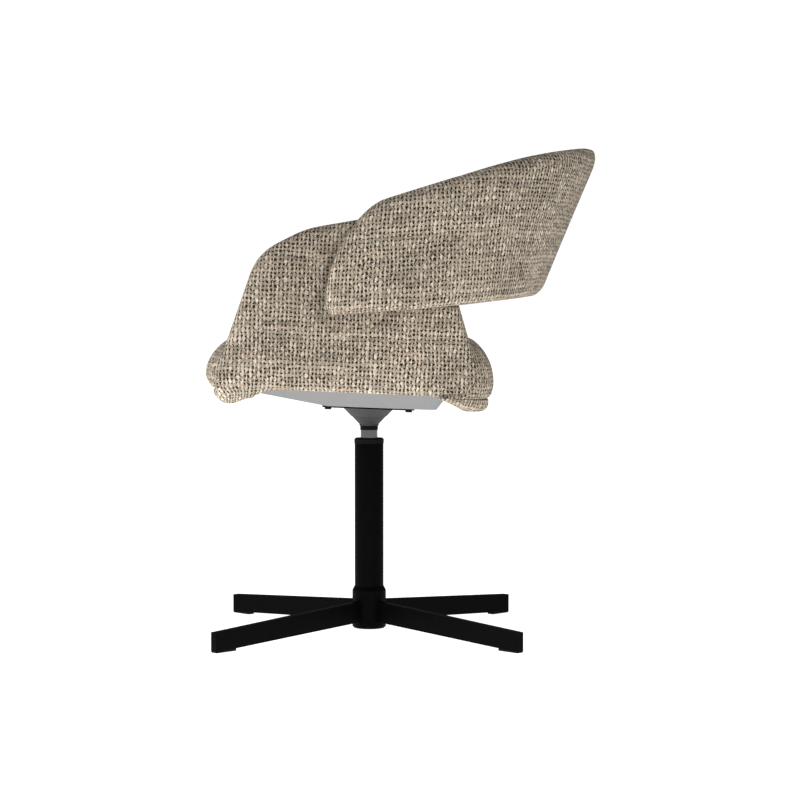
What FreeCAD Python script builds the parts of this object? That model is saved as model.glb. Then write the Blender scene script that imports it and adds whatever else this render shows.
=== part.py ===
# Swivel dining chair: a cross base of flat bars, a swivel column and a padded seat with side wings and a
# back band. Millimetres. +Z is up, the chair faces -Y and the sitter's left is +X.
# The pieces are made about the swivel axis, and moved at the end so that the origin is on the floor under
# the middle of the whole chair.
import FreeCAD, Part
import math
import os

V = FreeCAD.Vector

# Fits
RUNNING_CLEARANCE = 0.05    # radial, shaft in bush
BOLT_CLEARANCE = 0.2        # radial, bolt in its hole
SOFT_CLEARANCE = 0.4        # between padded pieces
AXIAL_PLAY = 0.3            # lift that the spindle has in the column

# Cross base: four flat bars that fall and taper towards their ends
ARM_COUNT = 4
ARM_REACH = 337.0           # swivel axis to the end of a bar
ARM_WIDTH = 12.4
ARM_END_LIFT = 1.5          # floor to the bar's lower edge at its end
ARM_RISE = 18.0             # rise of the lower edge from the end to the axis
ARM_END_HEIGHT = 30.5
ARM_ROOT_HEIGHT = 34.0
GLIDE_LENGTH = 40.0
GLIDE_SETBACK = 1.0         # from the end of the bar
GLIDE_PIN_DIAMETER = 6.0
GLIDE_PIN_LENGTH = 10.0
HUB_WALL = 4.0              # hub outside the tube
HUB_LIFT = 6.7
HUB_HEIGHT = 62.6
HUB_EDGE = 2.5              # bevel of the lower edge
HUB_COLLAR = 6.5            # height of the cone between hub and tube

# Column
TUBE_DIAMETER = 47.6
TUBE_WALL = 2.5
TUBE_TOP = 312.5
CAP_HEIGHT = 8.8
CAP_OVERHANG = 0.6          # cap beyond the tube, on the radius
CAP_EDGE = 2.0
UPPER_BUSH_LENGTH = 50.0
LOWER_BUSH_LENGTH = 40.0
LOWER_BUSH_GAP = 18.0       # above the bearing
PLUG_LIFT = 90.0            # floor to the plug
PLUG_THICKNESS = 12.0

# Thrust bearing on the plug
RACE_EDGE_CLEARANCE = 3.3   # radial, race in the tube
RACE_THICKNESS = 2.5
RACE_BORE_CLEARANCE = 0.3
BALL_DIAMETER = 5.0
BALL_COUNT = 12
BALL_CLEARANCE = 0.03
CAGE_THICKNESS = 2.0
CAGE_EDGE = 0.85            # cage beyond the balls, on the radius

# Spindle
SPINDLE_DIAMETER = 28.0
SPINDLE_TAPER = 1.2         # loss of radius over the taper in the socket
STUB_STEP = 5.5             # spindle beyond the stub, on the radius
STUB_BELOW_PLUG = 8.0
WASHER_WIDTH = 4.5          # beyond the stub, on the radius
WASHER_THICKNESS = 1.5
CIRCLIP_WIDTH = 2.5         # beyond the stub, on the radius
CIRCLIP_THICKNESS = 1.2
CIRCLIP_GROOVE = 1.0        # depth of its groove
CIRCLIP_MOUTH = 5.6
SPINDLE_SHOWING = 13.2      # bare length between the column and the ring below the cover

# Seat plate and the covers below it
SEAT_RAKE = 2.2             # degrees, rear lower
PLATE_SIZE = 150.0
PLATE_CORNER = 12.0
PLATE_THICKNESS = 4.0
SOCKET_WALL = 5.0
SOCKET_BELOW_PLATE = 20.0
SOCKET_ABOVE_PLATE = 12.0
BOLT_DIAMETER = 6.0
BOLT_EDGE_DISTANCE = 9.5    # seat bolt to the plate's edges
BOLT_HEAD_DIAMETER = 11.0
BOLT_HEAD_HEIGHT = 3.2
SLEEVE_WALL = 2.5
INSERT_WALL = 1.3
INSERT_FLANGE_DIAMETER = 18.0
INSERT_FLANGE_THICKNESS = 1.5
FUNNEL_WALL = 1.8
UPPER_FUNNEL_TOP = 87.0     # diameter at the plate
UPPER_FUNNEL_BOTTOM = 58.0
UPPER_FUNNEL_HEIGHT = 15.0
LOWER_FUNNEL_TOP = 56.0
LOWER_FUNNEL_NECK_WALL = 2.0
LOWER_FUNNEL_HEIGHT = 13.0
FUNNEL_NECK_HEIGHT = 2.5
SPINDLE_RING_WALL = 0.7
SPINDLE_RING_HEIGHT = 7.0

# Pan under the seat board; y and z here and below are in the raked seat, z from the plate's upper face
PAN_DEPTH = 28.0
PAN_GAP = 3.0               # between the pan and the rolls
PAN_HALF_WIDTH = 135.0
PAN_DRAFT = 19.0            # floor inside the rim, at the sides and the rear
PAN_FLOOR_SETBACK = 9.0     # the floor rises in front of this line, behind the plate's front
PAN_FRONT_HEIGHT = 10.0
PAN_WALL = 2.5
PAN_CORNER = 22.0
PAN_HOLE_CLEARANCE = 5.0    # radial, round the socket

# Seat board
BOARD_THICKNESS = 16.0
BOARD_CORNER = 60.0

# Seat cushion
CUSHION_FRONT = -261.0
CUSHION_REAR = 198.0
CUSHION_CORNER = 100.0
CUSHION_LIP_DROP = 5.0      # lower edge at front and rear, below the board
CUSHION_NOSE_LIFT = 5.0     # widest line above the board
CUSHION_RISE = 73.0         # widest line to the edge of the flat top
CUSHION_CROWN = 4.0
CUSHION_CROWN_INSET = 70.0
FRONT_ROUND = 120.0         # how far the rounding runs in from each side
REAR_ROUND = 70.0
SIDE_ROUND = 60.0
FRONT_LIP_INSET = 15.0
REAR_LIP_INSET = 8.0
SIDE_LIP_INSET = 3.0
LIP_DEPTH = 16.5            # front to back, beside the board
CUSHION_ANGLES = (0, 30, 52, 72, 90)    # degrees up the rounding, one section at each

# Rolls under the front and rear of the seat, thickest at the outer edge
ROLL_END_INSET = 15.8       # inside the cushion's sides
ROLL_THICKNESS = 27.6
ROLL_INSET = 1.0            # behind the cushion's lip
FRONT_ROLL_DEPTH = 62.0     # front to back
FRONT_ROLL_THIN = 17.0      # thickness of the edge towards the pan
REAR_ROLL_DEPTH = 57.0
REAR_ROLL_THIN = 22.0
ROLL_EDGE = 17.0
ROLL_THIN_EDGE = 4.0
ROLL_CORNER = 80.0          # rounding of the ends, seen from above
ROLL_ANGLES = (0, 25, 45, 60, 72)       # degrees round that, one section at each

# Wings
WING_INNER = 193.8          # half width between the wings, at the plate's height
WING_LEAN = 2.3             # degrees, outwards
WING_THICKNESS = 32.0
WING_EDGE = 13.0            # rounding of the padded edge
WING_LIFT = 0.5             # lower edge above the board's lower face
WING_FRONT_SETBACK = 13.0   # lower front corner behind the cushion's front
WING_FRONT_LOW_RADIUS = 20.0
WING_FRONT_HIGH = (-171.0, 248.0, 74.0) # y, z and radius of a corner
WING_TOP = (-20.0, 299.0, 150.0)
WING_REAR_HIGH = (91.0, 306.0, 60.0)
WING_REAR_SETBACK = 14.0    # lower rear corner in front of the cushion's rear
WING_REAR_LOW_RADIUS = 40.0
WING_ANGLES = (-90, -55, -25, 25, 55, 90)   # degrees round the edge, one section at each
WING_PANEL_THICKNESS = 10.0
WING_PANEL_INSET = 5.0
WING_PANEL_FOOT = 1.0       # its lower edge above the wing's
WING_PANEL_SETBACK = 50.0   # its lower rear corner, in front of the seat's rounded corner
WING_BOLT_YS = (-150.0, -25.0, 100.0)
WING_BOLT_GRIP = 40.0       # length in the seat board
HEAD_POCKET = 0.6           # room round a bolt's head in the padding

# Back band: a strip that follows a half ellipse at the rear and runs straight along the wings
BAND_LEVEL = 300.0          # height at which its plan is given
BAND_CENTRE = 52.0          # y where the straight run meets the half ellipse
BAND_REAR = 314.0           # y of its outer face at the rear
BAND_TIP = -70.0            # y of its front ends
BAND_THICKNESS = 46.0
BAND_REAR_LEAN = 20.6       # degrees, backwards
BAND_SIDE_BOTTOM = 158.0
BAND_SIDE_TOP = 340.0
BAND_REAR_BOTTOM = 187.0
BAND_REAR_TOP = 434.5
BAND_TOP_EDGE = 20.5
BAND_BOTTOM_EDGE = 13.0
BAND_EDGE_SHARE = 0.9       # most that an edge's radius takes of half the thickness
BAND_TIP_LEVEL = 176.0      # height of the foremost point of the leaf-shaped ends
BAND_TIP_ROUND = 85.0       # how far the upper rounding of the ends runs back
BAND_TIP_POWER = 1.7        # fullness of that rounding
BAND_TIP_UNDER = 15.0       # how far the lower rounding runs back
BAND_TIP_THIN = 35.0        # how far the ends thin out
BAND_SIDE_SHARES = (0.0125, 0.057, 0.148, 0.31, 0.56, 0.82) # sections along the straight run
BAND_ANGLE_STEP = 18        # degrees between sections round the half ellipse
BAND_PANEL_THICKNESS = 8.0
BAND_PANEL_SETBACK = 48.0   # behind the tip
BAND_PANEL_SHARES = (0.0, 0.36, 0.7)
PANEL_EDGE = 1.5            # rounding of the hidden panels' edges
BAND_BOLT_PLACES = ((65.0, 32.0), (130.0, 32.0), (70.0, 102.0), (130.0, 117.0)) # behind tip, above foot


def disc(diameter, bottom, top):
    return Part.makeCylinder(diameter / 2, top - bottom, V(0, 0, bottom))


def ring(outer, inner, bottom, top):
    return disc(outer, bottom, top).cut(disc(inner, bottom, top))


def cone(bottom_diameter, top_diameter, bottom, top):
    return Part.makeCone(bottom_diameter / 2, top_diameter / 2, top - bottom, V(0, 0, bottom))


def moved(shape, x, y, z=0.0):
    copy = shape.copy()
    copy.translate(V(x, y, z))
    return copy


def mirrored(shape):
    return shape.mirror(V(0, 0, 0), V(1, 0, 0))


PLATE_BOTTOM = (TUBE_TOP + CAP_HEIGHT + SPINDLE_SHOWING + SPINDLE_RING_HEIGHT + FUNNEL_NECK_HEIGHT
                + LOWER_FUNNEL_HEIGHT + UPPER_FUNNEL_HEIGHT)    # on the axis
PLATE_TOP = PLATE_BOTTOM + PLATE_THICKNESS


def raked(shape):
    """A piece of the seat, turned down at the rear and lifted to the plate."""
    copy = shape.copy()
    copy.rotate(V(0, 0, 0), V(1, 0, 0), -SEAT_RAKE)
    copy.translate(V(0, 0, PLATE_TOP))
    return copy


def without(shape, tools):
    """The shape with the tools' spaces taken out."""
    for tool in tools:
        shape = shape.cut(tool)
    return shape


def corner_sides(corners, index):
    """A corner's point, the directions to its neighbours and half of the angle between them."""
    here = V(corners[index][0], corners[index][1], 0)
    last = corners[index - 1]
    following = corners[(index + 1) % len(corners)]
    back = (V(last[0], last[1], 0) - here).normalize()
    ahead = (V(following[0], following[1], 0) - here).normalize()
    return here, back, ahead, back.getAngle(ahead) / 2


def rounded_loop(corners, place):
    """Closed wire of lines and tangent arcs round corners (u, v, radius); place puts (u, v) in space."""
    arcs = []
    for index, corner in enumerate(corners):
        here, back, ahead, half = corner_sides(corners, index)
        radius = corner[2]
        run = radius / math.tan(half)
        middle = here + (back + ahead).normalize() * (radius / math.sin(half) - radius)
        arcs.append([place(p.x, p.y) for p in (here + back * run, middle, here + ahead * run)])
    edges = []
    for index, arc in enumerate(arcs):
        edges.append(Part.Arc(*arc).toShape())
        edges.append(Part.LineSegment(arc[2], arcs[(index + 1) % len(arcs)][0]).toShape())
    return Part.Wire(edges)


def inset_corners(corners, inset, least_radius):
    """The corners of the same outline drawn inwards by inset; arcs keep their centres where they can."""
    result = []
    for index, corner in enumerate(corners):
        here, back, ahead, half = corner_sides(corners, index)
        point = here + (back + ahead).normalize() * (inset / math.sin(half))
        result.append((point.x, point.y, max(corner[2] - inset, least_radius)))
    return result


def rectangle(front, rear, half_width, radius):
    return [(-half_width, front, radius), (half_width, front, radius),
            (half_width, rear, radius), (-half_width, rear, radius)]


def flat_piece(corners, bottom, top):
    """A flat piece of the seat between two heights, outlined by (x, y, radius)."""
    loop = rounded_loop(corners, lambda x, y: V(x, y, bottom))
    return Part.Face(loop).extrude(V(0, 0, top - bottom))


CUTTING_WIDTH = 4 * WING_INNER


def block(front, rear, bottom, top):
    """A block wider than the whole seat, for cutting."""
    return Part.makeBox(CUTTING_WIDTH, rear - front, top - bottom, V(-CUTTING_WIDTH / 2, front, bottom))


# Cross base

HUB_DIAMETER = TUBE_DIAMETER + 2 * HUB_WALL


def arm_lower_edge(distance):
    return ARM_END_LIFT + ARM_RISE * (1 - distance / ARM_REACH)


def radial_bar(profile, width):
    """A profile of (distance, height) points, as wide as given and centred on the X axis."""
    points = [V(distance, -width / 2, height) for distance, height in profile]
    return Part.Face(Part.makePolygon(points + points[:1])).extrude(V(0, width, 0))


def glide_pin():
    """Pin that starts inside the glide and stands in the bar."""
    distance = ARM_REACH - GLIDE_SETBACK - GLIDE_LENGTH / 2
    seat = arm_lower_edge(distance)
    return moved(disc(GLIDE_PIN_DIAMETER, seat / 2, seat + GLIDE_PIN_LENGTH), distance, 0)


def base_arm():
    """A bar that starts on the hub and carries a glide pin's hole under its end."""
    lower = (arm_lower_edge(0), arm_lower_edge(ARM_REACH))
    profile = [(0, lower[0]), (ARM_REACH, lower[1]), (ARM_REACH, lower[1] + ARM_END_HEIGHT),
               (0, lower[0] + ARM_ROOT_HEIGHT)]
    hub_space = disc(HUB_DIAMETER, 0, HUB_LIFT + HUB_HEIGHT)
    return radial_bar(profile, ARM_WIDTH).cut(hub_space).cut(glide_pin())


def foot_glide():
    """A wedge that fills the space between a bar's end and the floor, with a pin up into the bar."""
    outer = ARM_REACH - GLIDE_SETBACK
    inner = outer - GLIDE_LENGTH
    profile = [(inner, 0), (outer, 0), (outer, arm_lower_edge(outer)), (inner, arm_lower_edge(inner))]
    return radial_bar(profile, ARM_WIDTH).fuse(glide_pin()).removeSplitter()


def base_hub():
    top = HUB_LIFT + HUB_HEIGHT
    bevel = cone(HUB_DIAMETER - 2 * HUB_EDGE, HUB_DIAMETER, HUB_LIFT, HUB_LIFT + HUB_EDGE)
    sleeve = disc(HUB_DIAMETER, HUB_LIFT + HUB_EDGE, top)
    collar = cone(HUB_DIAMETER, TUBE_DIAMETER + TUBE_WALL / 2, top, top + HUB_COLLAR)
    bore = disc(TUBE_DIAMETER, 0, top + HUB_COLLAR)
    return bevel.fuse([sleeve, collar]).cut(bore).removeSplitter()


# Column, its bushes and its bearing

TUBE_BORE = TUBE_DIAMETER - 2 * TUBE_WALL
BUSH_BORE = SPINDLE_DIAMETER + 2 * RUNNING_CLEARANCE
STUB_DIAMETER = SPINDLE_DIAMETER - 2 * STUB_STEP
RACE_DIAMETER = TUBE_BORE - 2 * RACE_EDGE_CLEARANCE
PLUG_TOP = PLUG_LIFT + PLUG_THICKNESS
LOWER_RACE_TOP = PLUG_TOP + RACE_THICKNESS
UPPER_RACE_BOTTOM = LOWER_RACE_TOP + BALL_DIAMETER + 2 * BALL_CLEARANCE
SHOULDER = UPPER_RACE_BOTTOM + RACE_THICKNESS
RACE_BORE = STUB_DIAMETER + 2 * RACE_BORE_CLEARANCE
BALL_LEVEL = (LOWER_RACE_TOP + UPPER_RACE_BOTTOM) / 2
BALL_PITCH_DIAMETER = (RACE_DIAMETER + RACE_BORE) / 2
WASHER_TOP = PLUG_LIFT - AXIAL_PLAY
WASHER_DIAMETER = STUB_DIAMETER + 2 * WASHER_WIDTH
CIRCLIP_TOP = WASHER_TOP - WASHER_THICKNESS
CIRCLIP_BOTTOM = CIRCLIP_TOP - CIRCLIP_THICKNESS
CIRCLIP_DIAMETER = STUB_DIAMETER + 2 * CIRCLIP_WIDTH
GROOVE_DIAMETER = STUB_DIAMETER - 2 * CIRCLIP_GROOVE


def column_tube():
    return ring(TUBE_DIAMETER, TUBE_BORE, HUB_LIFT + HUB_EDGE, TUBE_TOP)


def upper_bush():
    """Guide bush whose head caps the tube."""
    head_diameter = TUBE_DIAMETER + 2 * CAP_OVERHANG
    top = TUBE_TOP + CAP_HEIGHT
    bottom = TUBE_TOP - UPPER_BUSH_LENGTH
    head = disc(head_diameter, TUBE_TOP, top - CAP_EDGE)
    bevel = cone(head_diameter, head_diameter - 2 * CAP_EDGE, top - CAP_EDGE, top)
    stem = disc(TUBE_BORE, bottom, TUBE_TOP)
    bore = disc(BUSH_BORE, bottom, top)
    return head.fuse([bevel, stem]).cut(bore).removeSplitter()


def lower_bush():
    bottom = SHOULDER + LOWER_BUSH_GAP
    return ring(TUBE_BORE, BUSH_BORE, bottom, bottom + LOWER_BUSH_LENGTH)


def column_plug():
    return ring(TUBE_BORE, STUB_DIAMETER + 2 * RUNNING_CLEARANCE, PLUG_LIFT, PLUG_TOP)


def balls(diameter):
    pitch = BALL_PITCH_DIAMETER / 2
    found = []
    for index in range(BALL_COUNT):
        turn = 2 * math.pi * index / BALL_COUNT
        centre = V(pitch * math.cos(turn), pitch * math.sin(turn), BALL_LEVEL)
        found.append(Part.makeSphere(diameter / 2, centre))
    return found


def bearing_cage():
    pocket = BALL_DIAMETER + 2 * RUNNING_CLEARANCE
    width = pocket + 2 * CAGE_EDGE
    blank = ring(BALL_PITCH_DIAMETER + width, BALL_PITCH_DIAMETER - width,
                 BALL_LEVEL - CAGE_THICKNESS / 2, BALL_LEVEL + CAGE_THICKNESS / 2)
    return without(blank, balls(pocket))


# Spindle and what sits on it

SOCKET_DIAMETER = SPINDLE_DIAMETER + 2 * SOCKET_WALL
SOCKET_BOTTOM = PLATE_TOP - SOCKET_BELOW_PLATE
SOCKET_TOP = PLATE_TOP + SOCKET_ABOVE_PLATE
UPPER_FUNNEL_LEVEL = PLATE_BOTTOM - UPPER_FUNNEL_HEIGHT
LOWER_FUNNEL_LEVEL = UPPER_FUNNEL_LEVEL - LOWER_FUNNEL_HEIGHT
NECK_BOTTOM = LOWER_FUNNEL_LEVEL - FUNNEL_NECK_HEIGHT
LOWER_FUNNEL_BOTTOM = SPINDLE_DIAMETER + 2 * LOWER_FUNNEL_NECK_WALL


def spindle():
    """A bar with a taper at its head for the socket, and a stub at its foot through the bearing."""
    bar = disc(SPINDLE_DIAMETER, SHOULDER, SOCKET_BOTTOM)
    head = cone(SPINDLE_DIAMETER, SPINDLE_DIAMETER - 2 * SPINDLE_TAPER, SOCKET_BOTTOM, SOCKET_TOP)
    stub = disc(STUB_DIAMETER, PLUG_LIFT - STUB_BELOW_PLUG, SHOULDER)
    groove = ring(STUB_DIAMETER, GROOVE_DIAMETER, CIRCLIP_BOTTOM, CIRCLIP_TOP)
    return bar.fuse([head, stub]).cut(groove).removeSplitter()


def circlip():
    """An open ring in the spindle's groove."""
    closed = ring(CIRCLIP_DIAMETER, GROOVE_DIAMETER, CIRCLIP_BOTTOM, CIRCLIP_TOP)
    corner = V(0, -CIRCLIP_MOUTH / 2, CIRCLIP_BOTTOM)
    return closed.cut(Part.makeBox(CIRCLIP_DIAMETER, CIRCLIP_MOUTH, CIRCLIP_THICKNESS, corner))


def spindle_ring():
    diameter = SPINDLE_DIAMETER + 2 * SPINDLE_RING_WALL
    return ring(diameter, SPINDLE_DIAMETER, NECK_BOTTOM - SPINDLE_RING_HEIGHT, NECK_BOTTOM)


def lower_funnel():
    """Short grey funnel that grips the spindle by its neck."""
    slant_wall = FUNNEL_WALL * math.sqrt(2)
    shell = cone(LOWER_FUNNEL_BOTTOM, LOWER_FUNNEL_TOP, LOWER_FUNNEL_LEVEL, UPPER_FUNNEL_LEVEL)
    neck = disc(LOWER_FUNNEL_BOTTOM, NECK_BOTTOM, LOWER_FUNNEL_LEVEL)
    space = cone(LOWER_FUNNEL_BOTTOM - 2 * slant_wall, LOWER_FUNNEL_TOP - 2 * slant_wall,
                 LOWER_FUNNEL_LEVEL, UPPER_FUNNEL_LEVEL)
    bore = disc(SPINDLE_DIAMETER, NECK_BOTTOM, UPPER_FUNNEL_LEVEL)
    return shell.fuse(neck).cut(space).cut(bore).removeSplitter()


def upper_funnel():
    """Wider grey funnel, trimmed to the raked plate above it."""
    slope = (UPPER_FUNNEL_TOP - UPPER_FUNNEL_BOTTOM) / UPPER_FUNNEL_HEIGHT
    spare = UPPER_FUNNEL_TOP * math.tan(math.radians(SEAT_RAKE))
    top = UPPER_FUNNEL_LEVEL + UPPER_FUNNEL_HEIGHT + spare
    wide = UPPER_FUNNEL_TOP + slope * spare
    slant_wall = FUNNEL_WALL * math.sqrt(2)
    shell = cone(UPPER_FUNNEL_BOTTOM, wide, UPPER_FUNNEL_LEVEL, top)
    space = cone(UPPER_FUNNEL_BOTTOM - 2 * slant_wall, wide - 2 * slant_wall, UPPER_FUNNEL_LEVEL, top)
    above_plate = raked(block(-UPPER_FUNNEL_TOP, UPPER_FUNNEL_TOP, -PLATE_THICKNESS, UPPER_FUNNEL_TOP))
    return shell.cut(space).cut(above_plate)


# Seat plate, pan and board, made level and then raked

BOARD_BOTTOM = PAN_DEPTH
BOARD_TOP = BOARD_BOTTOM + BOARD_THICKNESS
FRONT_LIP = CUSHION_FRONT + FRONT_LIP_INSET
REAR_LIP = CUSHION_REAR - REAR_LIP_INSET
BOARD_FRONT = FRONT_LIP + LIP_DEPTH
BOARD_REAR = REAR_LIP - LIP_DEPTH
FRONT_ROLL_OUTER = FRONT_LIP + ROLL_INSET
FRONT_ROLL_INNER = FRONT_ROLL_OUTER + FRONT_ROLL_DEPTH
REAR_ROLL_OUTER = REAR_LIP - ROLL_INSET
REAR_ROLL_INNER = REAR_ROLL_OUTER - REAR_ROLL_DEPTH
PAN_FRONT = FRONT_ROLL_INNER + PAN_GAP
PAN_REAR = REAR_ROLL_INNER - PAN_GAP
PAN_FLOOR_FRONT = PAN_FLOOR_SETBACK - PLATE_SIZE / 2


def wing_inner_face(height):
    """Half width between the wings at a height above the plate."""
    return WING_INNER + height * math.tan(math.radians(WING_LEAN))


def at_bolts(shape):
    """A copy of a piece at each of the four seat bolts."""
    half = PLATE_SIZE / 2 - BOLT_EDGE_DISTANCE
    return [moved(shape, x, y) for x in (-half, half) for y in (-half, half)]


def seat_bolt():
    head = disc(BOLT_HEAD_DIAMETER, -PLATE_THICKNESS - BOLT_HEAD_HEIGHT, -PLATE_THICKNESS)
    shank = disc(BOLT_DIAMETER, -PLATE_THICKNESS, BOARD_TOP - INSERT_FLANGE_THICKNESS)
    return head.fuse(shank).removeSplitter()


def bolt_hole():
    return disc(BOLT_DIAMETER + 2 * BOLT_CLEARANCE, -PLATE_THICKNESS, BOARD_TOP)


def insert_barrel_diameter():
    return BOLT_DIAMETER + 2 * BOLT_CLEARANCE + 2 * INSERT_WALL


def threaded_insert():
    """Flanged insert pushed into the board from above."""
    barrel = disc(insert_barrel_diameter(), BOARD_BOTTOM, BOARD_TOP)
    flange = disc(INSERT_FLANGE_DIAMETER, BOARD_TOP - INSERT_FLANGE_THICKNESS, BOARD_TOP)
    return barrel.fuse(flange).removeSplitter()


def spacer_sleeves():
    """Sleeves round the bolts, from the pan's floor to the board."""
    bore = BOLT_DIAMETER + 2 * BOLT_CLEARANCE
    sleeve = ring(bore + 2 * SLEEVE_WALL, bore, 0, BOARD_BOTTOM)
    room = pan_space(PAN_WALL)
    return [standing.common(room) for standing in at_bolts(sleeve)]


def seat_plate():
    corners = rectangle(-PLATE_SIZE / 2, PLATE_SIZE / 2, PLATE_SIZE / 2, PLATE_CORNER)
    plate = without(flat_piece(corners, -PLATE_THICKNESS, 0), at_bolts(bolt_hole()))
    return raked(plate).cut(disc(SOCKET_DIAMETER, SOCKET_BOTTOM, SOCKET_TOP))


def plate_socket():
    return disc(SOCKET_DIAMETER, SOCKET_BOTTOM, SOCKET_TOP).cut(spindle())


def pan_space(inset):
    """The pan's outer form, or with an inset the space inside it."""
    front = PAN_FRONT + inset
    rear = PAN_REAR - inset
    half_width = PAN_HALF_WIDTH - inset
    floor = rectangle(front, rear - PAN_DRAFT, half_width - PAN_DRAFT, PAN_CORNER)
    floor_loop = rounded_loop(floor, lambda x, y: V(x, y, inset))
    rim_loop = rounded_loop(rectangle(front, rear, half_width, PAN_CORNER), lambda x, y: V(x, y, PAN_DEPTH))
    form = Part.makeLoft([floor_loop, rim_loop], True, True)
    front_floor = PAN_DEPTH - PAN_FRONT_HEIGHT + inset
    below = [V(0, PAN_FLOOR_FRONT, inset), V(0, PAN_FRONT, front_floor), V(0, PAN_FRONT, -PAN_DEPTH),
             V(0, PAN_FLOOR_FRONT, -PAN_DEPTH)]
    wedge = Part.Face(Part.makePolygon(below + below[:1])).extrude(V(CUTTING_WIDTH, 0, 0))
    return form.cut(moved(wedge, -CUTTING_WIDTH / 2, 0))


def underseat_pan():
    shell = pan_space(0).cut(pan_space(PAN_WALL))
    shell = without(shell, at_bolts(bolt_hole()))
    return raked(shell.cut(disc(SOCKET_DIAMETER + 2 * PAN_HOLE_CLEARANCE, 0, PAN_WALL)))


def board_half_width():
    return wing_inner_face(BOARD_BOTTOM) - SOFT_CLEARANCE


def seat_board():
    corners = rectangle(BOARD_FRONT, BOARD_REAR, board_half_width(), BOARD_CORNER)
    return flat_piece(corners, BOARD_BOTTOM, BOARD_TOP)


# Padded seat

CUSHION_LIP = BOARD_BOTTOM - CUSHION_LIP_DROP
CUSHION_NOSE = BOARD_TOP + CUSHION_NOSE_LIFT
CUSHION_HALF_WIDTH = wing_inner_face(CUSHION_NOSE) + WING_THICKNESS
ROLL_HALF_WIDTH = CUSHION_HALF_WIDTH - ROLL_END_INSET
ROLL_TOP = BOARD_BOTTOM - SOFT_CLEARANCE


def cushion_loop(front, rear, side, height):
    """The cushion's outline at a height, drawn in by the three insets."""
    half = CUSHION_HALF_WIDTH - side
    corner = CUSHION_CORNER * half / CUSHION_HALF_WIDTH
    corners = rectangle(CUSHION_FRONT + front, CUSHION_REAR - rear, half, corner)
    return rounded_loop(corners, lambda x, y: V(x, y, height))


def wing_slot():
    """The space that a wing and all outside it take from the cushion's side."""
    corners = inset_corners(wing_corners(), -SOFT_CLEARANCE, 0)
    loop = rounded_loop(corners, lambda y, z: V(-SOFT_CLEARANCE, y, z))
    return leaned(Part.Face(loop).extrude(V(CUSHION_HALF_WIDTH, 0, 0)))


def seat_cushion():
    """Crowned cushion: drawn in to a lip below its widest line, and rounded over above it."""
    loops = [cushion_loop(FRONT_LIP_INSET, REAR_LIP_INSET, SIDE_LIP_INSET, CUSHION_LIP)]
    for degrees in CUSHION_ANGLES:
        turn = math.radians(degrees)
        run = 1 - math.cos(turn)
        height = CUSHION_NOSE + CUSHION_RISE * math.sin(turn)
        loops.append(cushion_loop(FRONT_ROUND * run, REAR_ROUND * run, SIDE_ROUND * run, height))
    crown = CUSHION_CROWN_INSET
    loops.append(cushion_loop(FRONT_ROUND + crown, REAR_ROUND + crown, SIDE_ROUND + crown,
                              CUSHION_NOSE + CUSHION_RISE + CUSHION_CROWN))
    board_space = block(BOARD_FRONT, BOARD_REAR, 0, BOARD_TOP)
    slot = wing_slot()
    return without(Part.makeLoft(loops, True, False), [board_space, slot, mirrored(slot)])


def edge_roll(outer, inner, thin):
    """A padded roll across the seat; its outer edge follows the cushion's corners round to the ends."""
    inward = math.copysign(1, inner - outer)
    stations = [(0.0, 0.0), (ROLL_HALF_WIDTH / 2, 0.0)]
    for degrees in ROLL_ANGLES:
        turn = math.radians(degrees)
        x = ROLL_HALF_WIDTH - ROLL_CORNER * (1 - math.sin(turn))
        stations.append((x, ROLL_CORNER * (1 - math.cos(turn))))
    places = [(-x, inset) for x, inset in reversed(stations[1:])] + stations
    loops = []
    for x, inset in places:
        edge = outer + inward * inset
        share = (inner - edge) / (inner - outer)
        thin_edge = ROLL_THIN_EDGE * share
        lower = ROLL_TOP - thin - share * (ROLL_THICKNESS - thin)
        section = [(edge, lower, ROLL_EDGE * share), (inner, ROLL_TOP - thin, thin_edge),
                   (inner, ROLL_TOP, thin_edge), (edge, ROLL_TOP, thin_edge)]
        loops.append(rounded_loop(section, lambda y, z: V(x, y, z)))
    return Part.makeLoft(loops, True, False)


def front_roll():
    lip_space = block(CUSHION_FRONT, BOARD_FRONT, CUSHION_LIP, BOARD_TOP)
    return edge_roll(FRONT_ROLL_OUTER, FRONT_ROLL_INNER, FRONT_ROLL_THIN).cut(lip_space)


def rear_roll():
    lip_space = block(BOARD_REAR, CUSHION_REAR, CUSHION_LIP, BOARD_TOP)
    return edge_roll(REAR_ROLL_OUTER, REAR_ROLL_INNER, REAR_ROLL_THIN).cut(lip_space)


# Wings, made upright with their inner face at x = 0, then leaned out and set beside the seat

def leaned(shape):
    copy = shape.copy()
    copy.rotate(V(0, 0, 0), V(0, 1, 0), WING_LEAN)
    copy.translate(V(WING_INNER, 0, 0))
    return copy


def wing_corners():
    """The wing's outline in (y, z, radius)."""
    bottom = BOARD_BOTTOM + WING_LIFT
    return [(CUSHION_FRONT + WING_FRONT_SETBACK, bottom, WING_FRONT_LOW_RADIUS),
            (CUSHION_REAR - WING_REAR_SETBACK, bottom, WING_REAR_LOW_RADIUS),
            WING_REAR_HIGH, WING_TOP, WING_FRONT_HIGH]


def wing_form():
    """Padded panel: the outline drawn in towards both faces, round an edge of WING_EDGE."""
    loops = []
    for degrees in WING_ANGLES:
        turn = math.radians(degrees)
        corners = inset_corners(wing_corners(), WING_EDGE * (1 - math.cos(turn)), PANEL_EDGE)
        x = WING_THICKNESS / 2 * (1 + math.sin(turn))
        loops.append(rounded_loop(corners, lambda y, z: V(x, y, z)))
    return Part.makeLoft(loops, True, False)


WING_PANEL_INNER = (WING_THICKNESS - WING_PANEL_THICKNESS) / 2
WING_PANEL_OUTER = WING_PANEL_INNER + WING_PANEL_THICKNESS


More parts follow.
